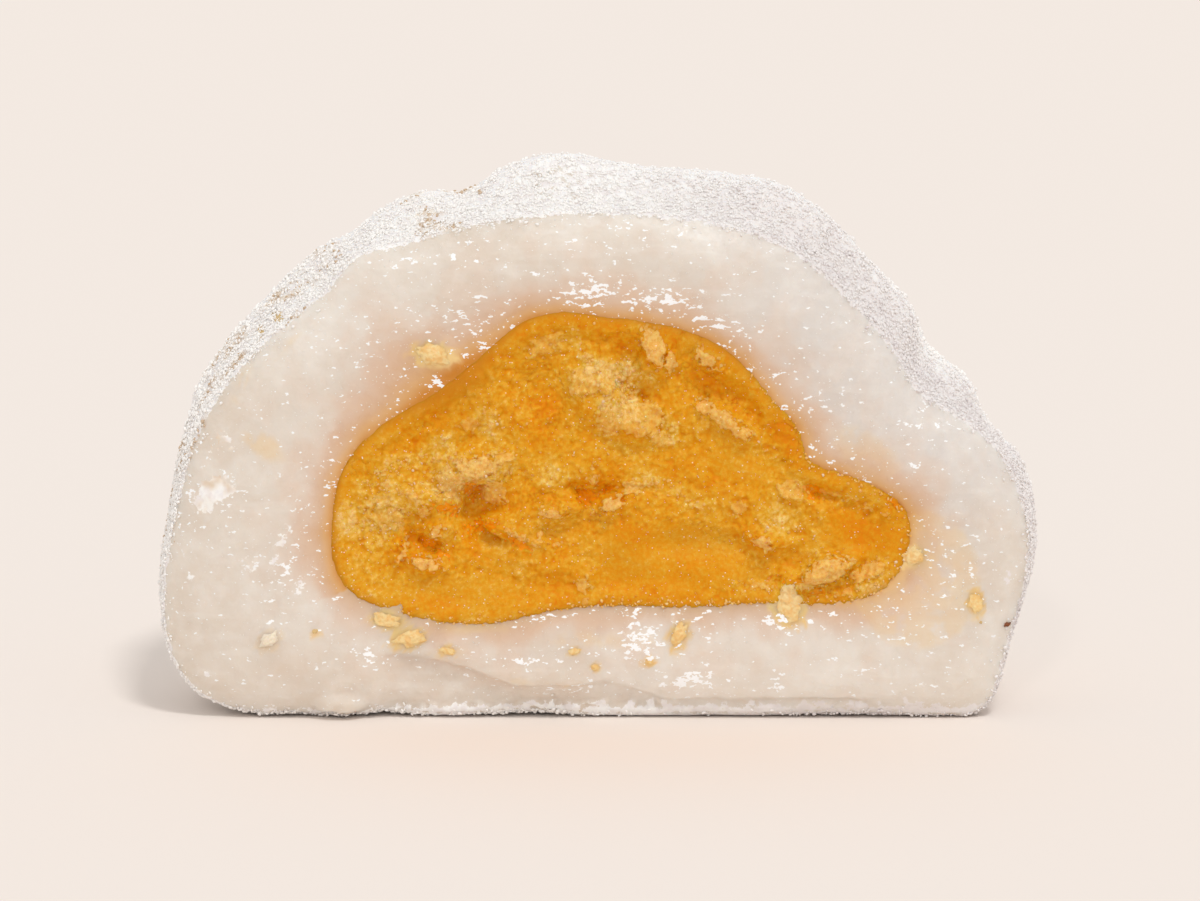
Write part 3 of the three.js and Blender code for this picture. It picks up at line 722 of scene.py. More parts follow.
class Shader:
    """A material being built: its tree, its coordinates and its surface shader."""

    def __init__(self, name: str) -> None:
        """Starts a material with a Principled surface.

        Args:
            name: The material's name.
        """
        self.material = bpy.data.materials.new(name)
        self.material.use_nodes = True
        self.tree = self.material.node_tree
        self.tree.nodes.clear()
        self.surface = self.add("ShaderNodeBsdfPrincipled")
        self.add("ShaderNodeOutputMaterial", links={"Surface": self.surface.outputs[0]})
        self.place = self.add("ShaderNodeTexCoord").outputs["Object"]

    def add(self, kind: str, settings: dict[str | int, object] | None = None,
            links: dict[str | int, NodeSocket] | None = None) -> Node:
        """Adds a node to this material; the arguments are those of add_node."""
        return add_node(self.tree, kind, settings, links)

    def cloud(self, size: float, detail: float = 3.0, rough: float = 0.55) -> NodeSocket:
        """Soft noise whose broadest patches are about size millimetres."""
        return self.add("ShaderNodeTexNoise",
                        {"Scale": 0.5 / (size * MM), "Detail": detail, "Roughness": rough},
                        {"Vector": self.place}).outputs["Fac"]

    def drawn_out(self, share: float, tilt: float, scale: float,
                  rough: float = 0.5) -> NodeSocket:
        """Noise drawn out along x.

        Args:
            share: How many waves it has along x for each one up and down, less than 1.
            tilt: Angle that it is turned round y, in radians.
            scale: Waves in a metre, up and down.
            rough: Strength of the finer waves.

        Returns:
            The noise, 0 to 1.
        """
        place = self.add("ShaderNodeMapping", {"Scale": (share, 1.0, 1.0), "Rotation": (0.0, tilt, 0.0)},
                         {"Vector": self.place}).outputs["Vector"]
        return self.add("ShaderNodeTexNoise", {"Scale": scale, "Detail": 2.0, "Roughness": rough},
                        {"Vector": place}).outputs["Fac"]

    def cells(self, size: float) -> NodeSocket:
        """Distance from the middles of cells that are size millimetres apart."""
        return self.add("ShaderNodeTexVoronoi", {"Scale": 1 / (size * MM)},
                        {"Vector": self.place}).outputs["Distance"]

    def specks(self, spacing: float, radius: float, rare: float) -> NodeSocket:
        """Scattered dots.

        Args:
            spacing: Millimetres between the cells that may hold a dot.
            radius: A dot's radius in millimetres.
            rare: From 0, every cell has one, to 1, none has.

        Returns:
            1 on a dot and 0 elsewhere.
        """
        cell = self.add("ShaderNodeTexVoronoi", {"Scale": 1 / (spacing * MM)},
                        {"Vector": self.place})
        dot = self.step(cell.outputs["Distance"], radius / spacing, 0.6 * radius / spacing)
        return self.math("MULTIPLY", dot, self.math("GREATER_THAN", cell.outputs["Color"], rare))

    def kept(self, name: str) -> NodeSocket:
        """A number kept at the piece's vertices."""
        return self.add("ShaderNodeAttribute", {"attribute_name": name}).outputs["Fac"]

    def step(self, source: NodeSocket, low: float, high: float,
             start: float = 0.0, end: float = 1.0) -> NodeSocket:
        """Maps low..high of a source smoothly to start..end."""
        return self.add("ShaderNodeMapRange",
                        {"interpolation_type": "SMOOTHSTEP", "From Min": low, "From Max": high,
                         "To Min": start, "To Max": end}, {"Value": source}).outputs["Result"]

    def math(self, how: str, first: NodeSocket, second: NodeSocket | float) -> NodeSocket:
        """Works out one number from two, such as ADD or MULTIPLY."""
        node = self.add("ShaderNodeMath", {"operation": how}, {0: first})
        if isinstance(second, float):
            node.inputs[1].default_value = second
        else:
            self.tree.links.new(second, node.inputs[1])
        return node.outputs[0]

    def blend(self, share: NodeSocket, first: NodeSocket | str,
              second: NodeSocket | str) -> NodeSocket:
        """Mixes two colours, each a socket or a hex value, by a share."""
        node = self.add("ShaderNodeMix", {"data_type": "RGBA"}, {0: share})
        for place, colour in ((6, first), (7, second)):
            if isinstance(colour, str):
                node.inputs[place].default_value = linear(colour)
            else:
                self.tree.links.new(colour, node.inputs[place])
        return node.outputs[2]

    def bump(self, height: NodeSocket, depth: float,
             below: NodeSocket | None = None) -> NodeSocket:
        """Raises the surface by up to depth millimetres, over another bump if one is given."""
        links = {"Height": height} | ({"Normal": below} if below else {})
        return self.add("ShaderNodeBump", {"Distance": depth * MM}, links).outputs["Normal"]

    def finish(self, **sockets: object) -> Material:
        """Sets the surface's sockets, by number, colour, vector or link, and gives the material."""
        for name, value in sockets.items():
            socket = self.surface.inputs[name.replace("_", " ")]
            if isinstance(value, NodeSocket):
                self.tree.links.new(value, socket)
            else:
                socket.default_value = linear(value) if isinstance(value, str) else value
        return self.material


# ---------------------------------------------------------------- finishes


@dataclass(frozen=True)
class SteamedRiceDough:
    """Glutinous rice dough, steamed, pounded and cut wet: milky, translucent and slightly shiny.

    Light enters it and comes out a few millimetres away, so its edges glow and the paste behind a
    thin wall tints it. Where it isn't cut it is dusted with potato starch, which is dead white.
    """

    pale: str = "#e9e1d7"
    warm: str = "#e1d5c7"
    cool: str = "#e0dad5"
    milky: str = "#f3eee7"
    rosy: str = "#e3cab5"
    veiled_paste: str = "#dba970"
    shown_paste: str = "#d0862a"
    stained: str = "#f0cd8c"
    # Painted highlight: the white of the wet flecks and specks on the cut.
    painted_glint: str = "#ffffff"
    starch: str = "#fffcf8"
    starch_shade: str = "#f3edeb"
    # Painted shade: the starch is darker towards the right side.
    starch_painted_shade: str = "#ebe3e0"
    # Painted tan shade in the starch's crevices on the left flank and in the notch.
    toasted: str = "#dcc3a2"
    depth: float = 1.5
    index: float = 1.42

    def material(self) -> Material:
        """Builds the material."""
        s = Shader("steamed_rice_dough")
        # Cloudy patches 5 mm across, with finer curds of 0.7 mm.
        dough = s.blend(s.step(s.cloud(5.0), 0.35, 0.65), self.warm, self.pale)
        dough = s.blend(s.kept("cool"), dough, self.cool)
        dough = s.blend(s.step(s.cloud(0.7, 3.0, 0.65), 0.4, 0.75, 0.0, 0.35), dough, self.milky)
        # Pounding draws the dough out: faint streaks 3 mm long and a third of a millimetre high.
        streak = s.drawn_out(0.12, 0.12, 1400.0)
        dough = s.blend(s.step(streak, 0.52, 0.72, 0.0, 0.22), dough, self.milky)
        glow = s.math("ADD", s.kept("paste_near"), s.step(s.cloud(0.9, 1.0), 0.3, 0.7, -0.05, 0.05))
        dough = s.blend(s.step(glow, 0.02, 0.3), dough, self.rosy)
        dough = s.blend(s.step(glow, 0.16, 0.72), dough, self.veiled_paste)
        dough = s.blend(s.step(glow, 0.6, 1.0), dough, self.shown_paste)
        patchy = s.cloud(0.5, 2.0)
        stain = s.math("MULTIPLY", s.kept("stain"), s.step(patchy, 0.3, 0.55))
        smeared = s.math("MULTIPLY", s.kept("smeared"), s.step(patchy, 0.25, 0.5, 0.6, 1.0))
        dough = s.blend(s.math("MAXIMUM", stain, smeared), dough, self.stained)
        # Water squeezed out by the knife: white flecks a quarter of a millimetre long, closest together
        # where it is wettest, and scattered white specks are painted into the colour as highlights; the
        # coat over them adds real gloss.
        wet = s.kept("wet")
        ripples = s.drawn_out(0.55, 0.2, 3400.0, 0.65)
        light = s.step(s.math("ADD", ripples, s.math("MULTIPLY", wet, 0.2)), 0.67, 0.70)
        light = s.math("MAXIMUM", light, s.specks(0.45, 0.055, 0.6))
        light = s.math("MULTIPLY", light, s.kept("cut"))
        dough = s.blend(light, dough, self.painted_glint)
        # Starch grains of about 0.05 mm cling in clumps of 0.15 to 0.3 mm; the clumps are drawn.
        clumps = s.cloud(0.28, 3.0, 0.7)
        edge = s.math("ADD", s.kept("starch"), s.step(clumps, 0.3, 0.7, -0.42, 0.42))
        dust = s.step(edge, 0.4, 0.62)
        shade = s.blend(s.step(s.cloud(0.3, 2.0), 0.38, 0.62), self.starch_shade, self.starch)
        # Painted shade: the starch darker towards the right side, near the cut.
        shade = s.blend(s.kept("dim"), shade, self.starch_painted_shade)
        # Painted tan shade in the starch's crevices on the left flank and in the notch.
        shade = s.blend(s.math("MULTIPLY", s.kept("toast"), s.step(patchy, 0.35, 0.6)),
                        shade, self.toasted)
        colour = s.blend(dust, dough, shade)
        relief = s.bump(s.cloud(0.35, 3.0), 0.07)
        rough = s.step(dust, 0.0, 1.0, 0.36, 0.9)
        # The thin lip over the paste shows the paste's colour and lets no light through.
        see_in = s.math("MULTIPLY", s.step(dust, 0.0, 1.0, 0.9, 0.35),
                       s.step(s.kept("paste_near"), 0.35, 0.62, 1.0, 0.0))
        see_in = s.math("MULTIPLY", see_in, s.step(light, 0.0, 1.0, 1.0, 0.0))
        return s.finish(Base_Color=colour, Roughness=rough, IOR=self.index, Normal=relief,
                        Specular_IOR_Level=0.35, Subsurface_Weight=see_in,
                        Subsurface_Radius=(1.0, 0.9, 0.8), Subsurface_Scale=self.depth * MM,
                        Coat_Weight=s.math("MAXIMUM", wet, light), Coat_Roughness=0.1, Coat_IOR=1.6,
                        Coat_Normal=s.bump(ripples, 0.25))


@dataclass(frozen=True)
class PotatoStarch:
    """Potato starch as a loose dusting: fine matt grains that clump, white with lilac shadows."""

    white: str = "#fffcf8"
    shaded: str = "#e6dedd"
    # Painted tan shade between the clumps on the left flank and at the notch.
    toasted: str = "#c9a880"

    def material(self) -> Material:
        """Builds the material."""
        s = Shader("potato_starch")
        colour = s.blend(s.kept("shade"), self.white, self.shaded)
        colour = s.blend(s.kept("toast"), colour, self.toasted)
        return s.finish(Base_Color=colour, Roughness=0.9, IOR=1.5)


@dataclass(frozen=True)
class SievedBeanPaste:
    """White bean paste cooked with sugar and egg yolk and sieved: golden, grainy and moist.

    It is translucent, so its hollows turn deep orange while drier crumbs on top are pale.
    """

    tones: tuple[tuple[float, str], ...] = (
        (0.0, "#e68c00"), (0.25, "#e59d0e"), (0.5, "#e6ac2c"), (0.75, "#edc15c"), (1.0, "#f6d794"))
    deep: str = "#ff9a00"
    veiled: str = "#cf8618"
    shadow: str = "#d68210"
    crumb: str = "#e7ad50"
    crumb_top: str = "#f0ca78"
    painted_sparkle: str = "#fff3dc"
    index: float = 1.45

    def material(self) -> Material:
        """Builds the material."""
        s = Shader("sieved_bean_paste")
        # Sieved grains of about 0.1 mm, lighter than what binds them, in broad uneven patches.
        grain = s.cloud(0.11, 3.0, 0.7)
        tone = s.math("ADD", s.kept("tone"), s.step(grain, 0.35, 0.75, -0.12, 0.26))
        tone = s.math("ADD", tone, s.step(s.cloud(1.6, 3.0), 0.3, 0.7, -0.12, 0.12))
        colour = s.add("ShaderNodeValToRGB", {"ramp": self.tones}, {"Fac": tone}).outputs["Color"]
        ragged = s.math("ADD", s.step(s.cells(0.34), 0.1, 0.5, 0.15, -0.15),
                       s.step(s.cloud(0.14, 1.0), 0.3, 0.7, -0.06, 0.06))
        hole = s.step(s.math("ADD", s.kept("pit"), ragged), -0.06, 0.06)
        colour = s.blend(s.math("MULTIPLY", hole, s.kept("red")), colour, self.deep)
        # Crumbs torn loose are drier and paler, with scalloped edges a grain deep.
        crag = s.math("ADD", s.kept("flake"), ragged)
        torn = s.step(crag, -0.02, 0.03)
        below = s.math("SUBTRACT", s.step(crag, -0.12, -0.04), torn)
        below = s.math("MULTIPLY", below, s.kept("pale"))
        colour = s.blend(s.math("MULTIPLY", below, 0.45), colour, self.shadow)
        dry = s.blend(s.step(grain, 0.36, 0.64), self.crumb, self.crumb_top)
        colour = s.blend(s.math("MULTIPLY", torn, s.kept("pale")), colour, dry)
        colour = s.blend(s.kept("veil"), colour, self.veiled)
        # Painted highlights: tiny cream-white sparkles.
        colour = s.blend(s.specks(0.3, 0.045, 0.57), colour, self.painted_sparkle)
        relief = s.bump(grain, 0.04)
        relief = s.bump(s.math("SUBTRACT", torn, hole), 0.07, relief)
        return s.finish(Base_Color=colour, Roughness=0.45, IOR=self.index, Normal=relief,
                        Specular_IOR_Level=0.1, Subsurface_Weight=0.8,
                        Subsurface_Radius=(1.0, 0.5, 0.18), Subsurface_Scale=0.42 * MM,
                        Coat_Weight=0.15, Coat_Roughness=0.1, Coat_IOR=1.35,
                        Coat_Normal=s.bump(grain, 0.12))


@dataclass(frozen=True)
class DriedPasteCrumb:
    """Crumbs of the paste smeared off by the knife: paler, drier and a little waxy."""

    name: str = "dried_paste_crumb"
    body: str = "#f2c27a"
    light: str = "#f6d698"
    moist: str = "#e7a337"
    sugared: str = "#f4ead9"
    # On the crumbs this is their own toasted colour.
    toasted: str = "#d8b67c"
    see_in: float = 0.15

    def material(self) -> Material:
        """Builds the material."""
        s = Shader(self.name)
        colour = s.blend(s.step(s.cloud(0.16, 4.0), 0.38, 0.62), self.body, self.light)
        colour = s.blend(s.kept("moist"), colour, self.moist)
        colour = s.blend(s.kept("sugar"), colour, self.sugared)
        colour = s.blend(s.kept("toast"), colour, self.toasted)
        return s.finish(Base_Color=colour, Roughness=0.5, IOR=1.45,
                        Normal=s.bump(s.cloud(0.1, 3.0), 0.05), Subsurface_Weight=self.see_in,
                        Subsurface_Radius=(1.0, 0.7, 0.35), Subsurface_Scale=0.5 * MM)


@dataclass(frozen=True)
class WetBead:
    """Sugary water squeezed out by the knife: tiny glassy beads, coloured near white as a painted highlight
    so that they look lit from every side.
    """

    # Painted highlight: both colours are near white so that the beads always look lit.
    clear: str = "#fffdfa"
    cloudy: str = "#f6efe8"

    def material(self) -> Material:
        """Builds the material."""
        s = Shader("wet_bead")
        glaze = s.blend(s.step(s.cloud(0.3), 0.3, 0.7), self.clear, self.cloudy)
        return s.finish(Base_Color=glaze, Roughness=0.12, IOR=1.5,
                        Specular_IOR_Level=0.8, Normal=s.bump(s.cloud(0.12), 0.01))


@dataclass(frozen=True)
class BeanHusk:
    """A scorched scrap of bean husk: dark brown, dry and papery."""

    dark: str = "#4a2410"
    brown: str = "#8a4a22"

    def material(self) -> Material:
        """Builds the material."""
        s = Shader("bean_husk")
        colour = s.blend(s.step(s.cloud(0.2), 0.4, 0.6), self.dark, self.brown)
        return s.finish(Base_Color=colour, Roughness=0.6, Normal=s.bump(s.cells(0.1), 0.02))


@dataclass(frozen=True)
class PaperFloor:
    """Matt cream paper under the piece."""

    cream: str = "#f4eae2"

    def material(self) -> Material:
        """Builds the material."""
        s = Shader("matt_paper")
        return s.finish(Base_Color=self.cream, Roughness=1.0, Specular_IOR_Level=0.0)


# ---------------------------------------------------------------- the dough


@dataclass
class RiceCake:
    """The dough with its dusting: the cut face, the dome behind it and the flat foot.

    Attributes:
        voxel: Spacing of the mesh on the dome and in the hollow.
        skin_show: How far behind the cut the skin is meshed finely.
        stains: Stains of paste on the cut.
        smears: Starch carried onto the cut.
        smeared_crumbs: Paste smeared round the stray crumbs.
        fold: The line where one lobe of dough lies over another, as (x, z) points.
        glow_reach: How far from the paste its colour fades to a third.
        lifts: Where the front edge of the foot stands off the table: place, height and half length.
        foot_lump: The lump squeezed out at the foot of the cut.
        wet: Where the cut is wet.
        lip: How far the dough is drawn in over the edge of the paste.
        dough: Its finish.
        face: Where each vertex is on the cut, 0 to 1, once it is built.
        dusted: How thickly each vertex is dusted, 0 to 1, once it is built.
    """

    voxel: float = 0.36
    skin_show: float = 3.4
    stains: tuple[Patch, ...] = STAINS
    smears: tuple[Patch, ...] = SMEARS
    smeared_crumbs: tuple[Patch, ...] = tuple(
        Patch(crumb.x, crumb.z, 1.3 * crumb.length + 0.15, 1.3 * crumb.width + 0.15, crumb.turn,
              kind.value[2]) for crumb, kind in CRUMBS)
    fold: tuple[tuple[float, float], ...] = FOLD
    lifts: tuple[tuple[float, float, float], ...] = (
        (-18.6, 0.25, 1.6), (-12.3, 0.35, 1.4), (-3.8, 0.3, 2.6), (6.5, 0.2, 1.5), (13.5, 0.25, 3.0))
    foot_lump: Patch = Patch(-15.3, 0.9, 1.9, 1.0)
    glow_reach: float = 0.95
    wet: tuple[Patch, ...] = WET
    lip: float = 0.95
    dough: SteamedRiceDough = SteamedRiceDough()
    face: np.ndarray = field(init=False)
    dusted: np.ndarray = field(init=False)

    def build(self, solid: Object, rim: Rim) -> Object:
        """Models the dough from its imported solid.

        Args:
            solid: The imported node.
            rim: The outline of the paste.

        Returns:
            The finished piece.
        """
        piece = solid_copy(solid, "rice_dough")
        apply_modifier(piece, "REMESH", mode="VOXEL", voxel_size=self.voxel * MM)
        apply_modifier(piece, "SMOOTH", factor=0.5, iterations=2)
        places, normals = vertex_places(piece), vertex_normals(piece)
        hollow = self.in_hollow(places, normals)
        lap = smoothstep(-2.6, -0.5, rim.inside(places)) * smoothstep(2.6, 1.2, places[:, 1] - CUT_PLANE)
        inward = np.stack((HEART[0] - places[:, 0], np.zeros(len(places)),
                           (HEART[1] - places[:, 2]) * 1.5), axis=1)
        inward /= np.linalg.norm(inward, axis=1, keepdims=True)
        move_vertices(piece, places + inward * (self.lip * lap)[:, None])
        refine(piece, (places[:, 1] < CUT_PLANE + self.skin_show) & ~hollow & (places[:, 2] > 0.1), 1)
        apply_modifier(piece, "SMOOTH", factor=0.5, iterations=1)
        smooth_look(piece)
        self.roughen(piece, rim)
        piece.data.materials.append(self.dough.material())
        return piece

    def in_hollow(self, places: np.ndarray, normals: np.ndarray) -> np.ndarray:
        """Tells which vertices line the hollow round the paste.

        Args:
            places: The vertices.
            normals: Their outward directions.

        Returns:
            True for each vertex of the hollow's wall.
        """
        across, up = places[:, 0] - HEART[0], places[:, 2] - HEART[1]
        inward = across * normals[:, 0] + up * normals[:, 2] < 0
        near = (across / 19.5) ** 2 + (up / 13.3) ** 2 < 1
        deep = places[:, 1] > CUT_PLANE + 0.9
        return near & deep & (inward | (normals[:, 1] < -0.3)) & (places[:, 1] < 9)

    def roughen(self, piece: Object, rim: Rim) -> None:
        """Gives the surface its fine relief and keeps the numbers that colour it.

        Args:
            piece: The remeshed dough.
            rim: The outline of the paste.
        """
        places, normals = vertex_places(piece), vertex_normals(piece)
        hollow = self.in_hollow(places, normals)
        across, up = places[:, 0] - HEART[0], places[:, 2] - HEART[1]
        outward = (across * normals[:, 0] + up * normals[:, 2]) / np.maximum(np.hypot(across, up), 1e-6)
        behind = places[:, 1] - CUT_PLANE
        face = smoothstep(-0.55, -0.85, normals[:, 1]) * smoothstep(2.0, 1.0, behind)
        fine, broad = waves(places, 0.5, 3, 1), waves(places, 2.4, 3, 2)
        distance = np.maximum(-rim.inside(places), 0)

        skin = smoothstep(-0.86, -0.36, normals[:, 1]) * (outward > -0.1) * ~hollow
        skin = np.where((distance < 1.6) & (behind < 3), 0, skin)
        crust = smoothstep(0.8, 0.2, places[:, 2] + 0.35 * fine - 0.3 * smoothstep(
            -11.5, -9.0, places[:, 0]) * smoothstep(24, 22.5, places[:, 0]))
        smear = layered(self.smears, places, 0.5 * broad + 0.25 * fine, 0.7) * face
        starch = np.maximum.reduce((skin, crust * face, smear))
        starch = np.where(hollow, 0, starch)
        stain = layered(self.stains, places, 0.25 * broad + 0.12 * fine, 0.5) * face
        smeared = layered(self.smeared_crumbs, places, 0.2 * broad + 0.25 * fine, 0.3) * face

        # Painted tan shade: the starch's crevices on the left flank and in the notch are coloured as if
        # shaded.
        west = smoothstep(-15.0, -17.5, places[:, 0]) * smoothstep(8, 15, places[:, 2])
        notch = smoothstep(2.6, 1.2, np.hypot(places[:, 0] - NOTCH[0], places[:, 2] - NOTCH[1]))
        toast = np.clip((0.75 * west + 0.8 * notch) * smoothstep(-0.2, 0.4, broad), 0, 1)

        powder = 0.10 * waves(places, 0.7, 4, 3) + 0.05 * grains(places, 0.42, 4)
        wet = 0.07 * broad + 0.03 * fine - 0.26 * self.under_fold(places, fine) * face
        wet += 0.45 * smoothstep(0.0, 0.7, self.foot_lump.inside(places)) * face
        away = np.where(hollow, 0, starch * powder + (1 - starch) * wet)
        away = np.where(places[:, 2] < 0.12, 0, away)
        moved = places + normals * away[:, None]
        lifted = sum(by * bell(places[:, 0], at, over) for at, by, over in self.lifts)
        moved[:, 2] += lifted * np.exp(-np.maximum(behind, 0) / 0.8) * smoothstep(2.0, 0.0, places[:, 2])
        moved[:, 2] = np.maximum(moved[:, 2], 0)
        move_vertices(piece, moved)
        kept = {
            "starch": starch, "stain": stain, "smeared": smeared, "toast": toast,
            "paste_near": self.glow(places, distance) * smoothstep(-0.1, -0.4, normals[:, 1]),
            "cut": face * (1 - starch),
            # Painted shade on the starch towards the right side, fading behind the cut.
            "dim": 0.7 * smoothstep(-2.0, 14.0, places[:, 0]) * smoothstep(7.0, 3.0, behind),
            "cool": 0.75 * smoothstep(2.0, 14.0, places[:, 0]) * smoothstep(8, 16, places[:, 2]),
            "wet": self.wetness(places) * face * (1 - starch)}
        for name, values in kept.items():
            store(piece, name, values)
        dry = np.where(hollow, 0, skin) * (1 - face * smoothstep(1.6, 0.5, places[:, 2]))
        spilt = spread_value(piece, dry, 14) * np.where(hollow, 0, 1) * (distance > 1)
        self.face, self.dusted = face, np.maximum(dry, 0.35 * spilt)

    def glow(self, places: np.ndarray, distance: np.ndarray) -> np.ndarray:
        """How strongly the colour of the paste comes through the dough round it.

        Args:
            places: Places, one row each.
            distance: How far from the paste's outline each is, 0 inside it.

        Returns:
            The strength at each place, 0 to 1: most where the wall is thin, and half below the paste.
        """
        angle = around_heart(places)[0]
        thin = bell(angle, THIN_WALL, 11)
        reach = self.glow_reach * (1 + 1.3 * thin + 0.2 * bell(angle, 166, 14))
        near = (0.68 + 0.3 * thin) * np.exp(-distance / reach)
        near *= 0.5 + 0.5 * smoothstep(-40, -8, np.where(angle > 200, angle - 360, angle))
        return near + 0.12 * np.exp(-distance / 4)

    def wetness(self, places: np.ndarray) -> np.ndarray:
        """How wet each place is, 0 to 1: most in the middle of the wettest patches."""
        most = np.zeros(len(places))
        for patch in self.wet:
            spread_out = 1 - patch.inside(places) / min(patch.length, patch.width)
            thick = patch.amount / (math.pi * patch.length * patch.width)
            most = np.maximum(most, min(1.0, 0.2 + thick / 14) * np.exp(-0.8 * spread_out ** 2))
        return most

    def under_fold(self, places: np.ndarray, ragged: np.ndarray) -> np.ndarray:
        """How far under the dragged fold each place is, 0 to 1.

        Args:
            places: Places, one row each.
            ragged: Unevenness of the fold's edge, about -1 to 1.

        Returns:
            1 below the edge of the fold and 0 above it.
        """
        across, height = np.array(self.fold).T
        edge = np.interp(places[:, 0], across, height) + 0.12 * ragged
        ends = smoothstep(-13.5, -11.5, places[:, 0]) * smoothstep(18.0, 14.0, places[:, 0])
        return smoothstep(0.14, -0.14, places[:, 2] - edge) * ends


# ---------------------------------------------------------------- the paste


@dataclass
class PasteCore:
    """The bean paste, crumbly where it tore and smooth where the knife pressed it.

    Attributes:
        voxel: Spacing of the mesh in the hollow; the cut is four times finer.
        swelling: How far the paste is grown to fill the narrow gap round it.
        under: How far the edge of the cut runs on under the dough.
        forward: How far its cut is brought forward to stand level with the dough.
        flakes: Pale crumbs standing up from the cut.
        pits: Torn holes and cracks.
        pressed: Where the knife left the paste smooth.
        crumbly: Where dry crumbs make it paler.
        amber: Where it is moist and deeper in colour.
        paste: Its finish.
        front: Where each vertex is on the cut, 0 to 1, once it is built.
        crumbs: How thickly loose grains lie at each vertex, once it is built.
    """

    voxel: float = 0.36
    swelling: float = 0.28
    under: float = 0.8
    forward: float = 0.32
    flakes: tuple[Patch, ...] = FLAKES
    pits: tuple[Patch, ...] = PITS
    pressed: tuple[Patch, ...] = PRESSED
    crumbly: tuple[Patch, ...] = CRUMBLY
    amber: tuple[Patch, ...] = AMBER
    paste: SievedBeanPaste = SievedBeanPaste()
    front: np.ndarray = field(init=False)
    crumbs: np.ndarray = field(init=False)

    def block_out(self, solid: Object) -> tuple[Object, Rim]:
        """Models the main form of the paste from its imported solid.

        Args:
            solid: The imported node.

        Returns:
            The piece, and its outline on the cut.
        """
        piece = solid_copy(solid, "yellow_bean_paste")
        apply_modifier(piece, "REMESH", mode="VOXEL", voxel_size=self.voxel * MM)
        apply_modifier(piece, "SMOOTH", factor=0.5, iterations=1)
        places, normals = vertex_places(piece), vertex_normals(piece)
        rim = Rim(piece)
        shallow = smoothstep(2.4, 1.6, places[:, 1] - CUT_PLANE)
        front = smoothstep(-0.15, -0.6, normals[:, 1]) * shallow
        outward = (places - (HEART[0], 0, HEART[1])) * (1, 0, 1)
        outward /= np.linalg.norm(outward, axis=1, keepdims=True)
        places += normals * (self.swelling * (1 - front))[:, None]
        places += outward * (self.under * smoothstep(1.3, 0.1, rim.inside(places)) * shallow)[:, None]
        places[:, 1] -= self.forward * front
        move_vertices(piece, places)
        refine(piece, (places[:, 1] < CUT_PLANE + 1.6) & (normals[:, 1] < 0.2), 3)
        apply_modifier(piece, "SMOOTH", factor=0.5, iterations=2)
        smooth_look(piece)
        return piece, rim

    def crumble(self, piece: Object, rim: Rim, dough: BVHTree) -> None:
        """Raises the crumbs, tears the pits and lets the edge run on under the dough.

        Args:
            piece: The paste, blocked out.
            rim: Its outline on the cut.
            dough: The surface of the finished dough, in metres.
        """
        places, normals = vertex_places(piece), vertex_normals(piece)
        front = smoothstep(0.0, -0.55, normals[:, 1]) * smoothstep(1.8, 1.1, places[:, 1] - CUT_PLANE)
        shown = np.flatnonzero(front > 0)
        spots = places[shown]
        fine, broad = waves(spots, 0.45, 3, 5), waves(spots, 1.9, 3, 6)
        ragged = 0.2 * fine + 0.16 * waves(spots, 0.22, 2, 7)
        inside, angle = rim.inside(spots), around_heart(spots)[0]
        loose = np.maximum(smoothstep(185, 215, angle), smoothstep(55, 25, angle))

        pressed = layered(self.pressed, spots, 0.4 * broad, 0.9)
        torn = 1 - 0.8 * pressed
        flake, height, pale = deepest(self.flakes, spots)
        pit, depth, red = deepest(self.pits, spots)
        # Where the paste is dry, small crumbs stand up all over it.
        crumbly = layered(self.crumbly, spots, 0.8 * broad + 0.3 * fine, 1.3)
        small = 1.6 * crumbly * torn + 0.34 * waves(spots, 0.9, 2, 44) - 0.42
        more = small > flake
        flake, height = np.where(more, small, flake), np.where(more, 0.08, height)
        pale = np.where(more, 0.75, pale)
        flake, pit = flake + ragged, pit + ragged
        raised = 0.8 * height * smoothstep(-0.06, 0.14, flake)
        crumbs, sieved = grains(spots, 0.62, 8), grains(spots, 0.26, 9)
        rise = torn * (0.12 * broad + 0.09 * fine + 0.12 * (crumbs - 0.5))
        rise += (0.04 + 0.06 * torn) * (sieved - 0.5) + raised * (0.6 + 0.4 * crumbs)
        rise -= 0.26 * depth * smoothstep(-0.1, 0.3, pit)
        rise *= front[shown] * np.maximum(smoothstep(0.1, 1.2, inside), 0.5 * loose)

        level = spots[:, 1] - rise
        edge = inside + (0.1 + 0.6 * loose) * ragged
        skin = self.level_of_dough(rim, dough, angle)
        target = skin - 0.02 + 0.42 * smoothstep(0.25, -0.45, edge) - rise * smoothstep(0.0, 0.6, inside)
        near = smoothstep(1.7, 0.55, inside) * front[shown]
        moved = places.copy()
        moved[shown, 1] = level + (target - level) * near
        move_vertices(piece, moved)

        amber = layered(self.amber, spots, 0.6 * broad + 0.2 * fine, 1.2)
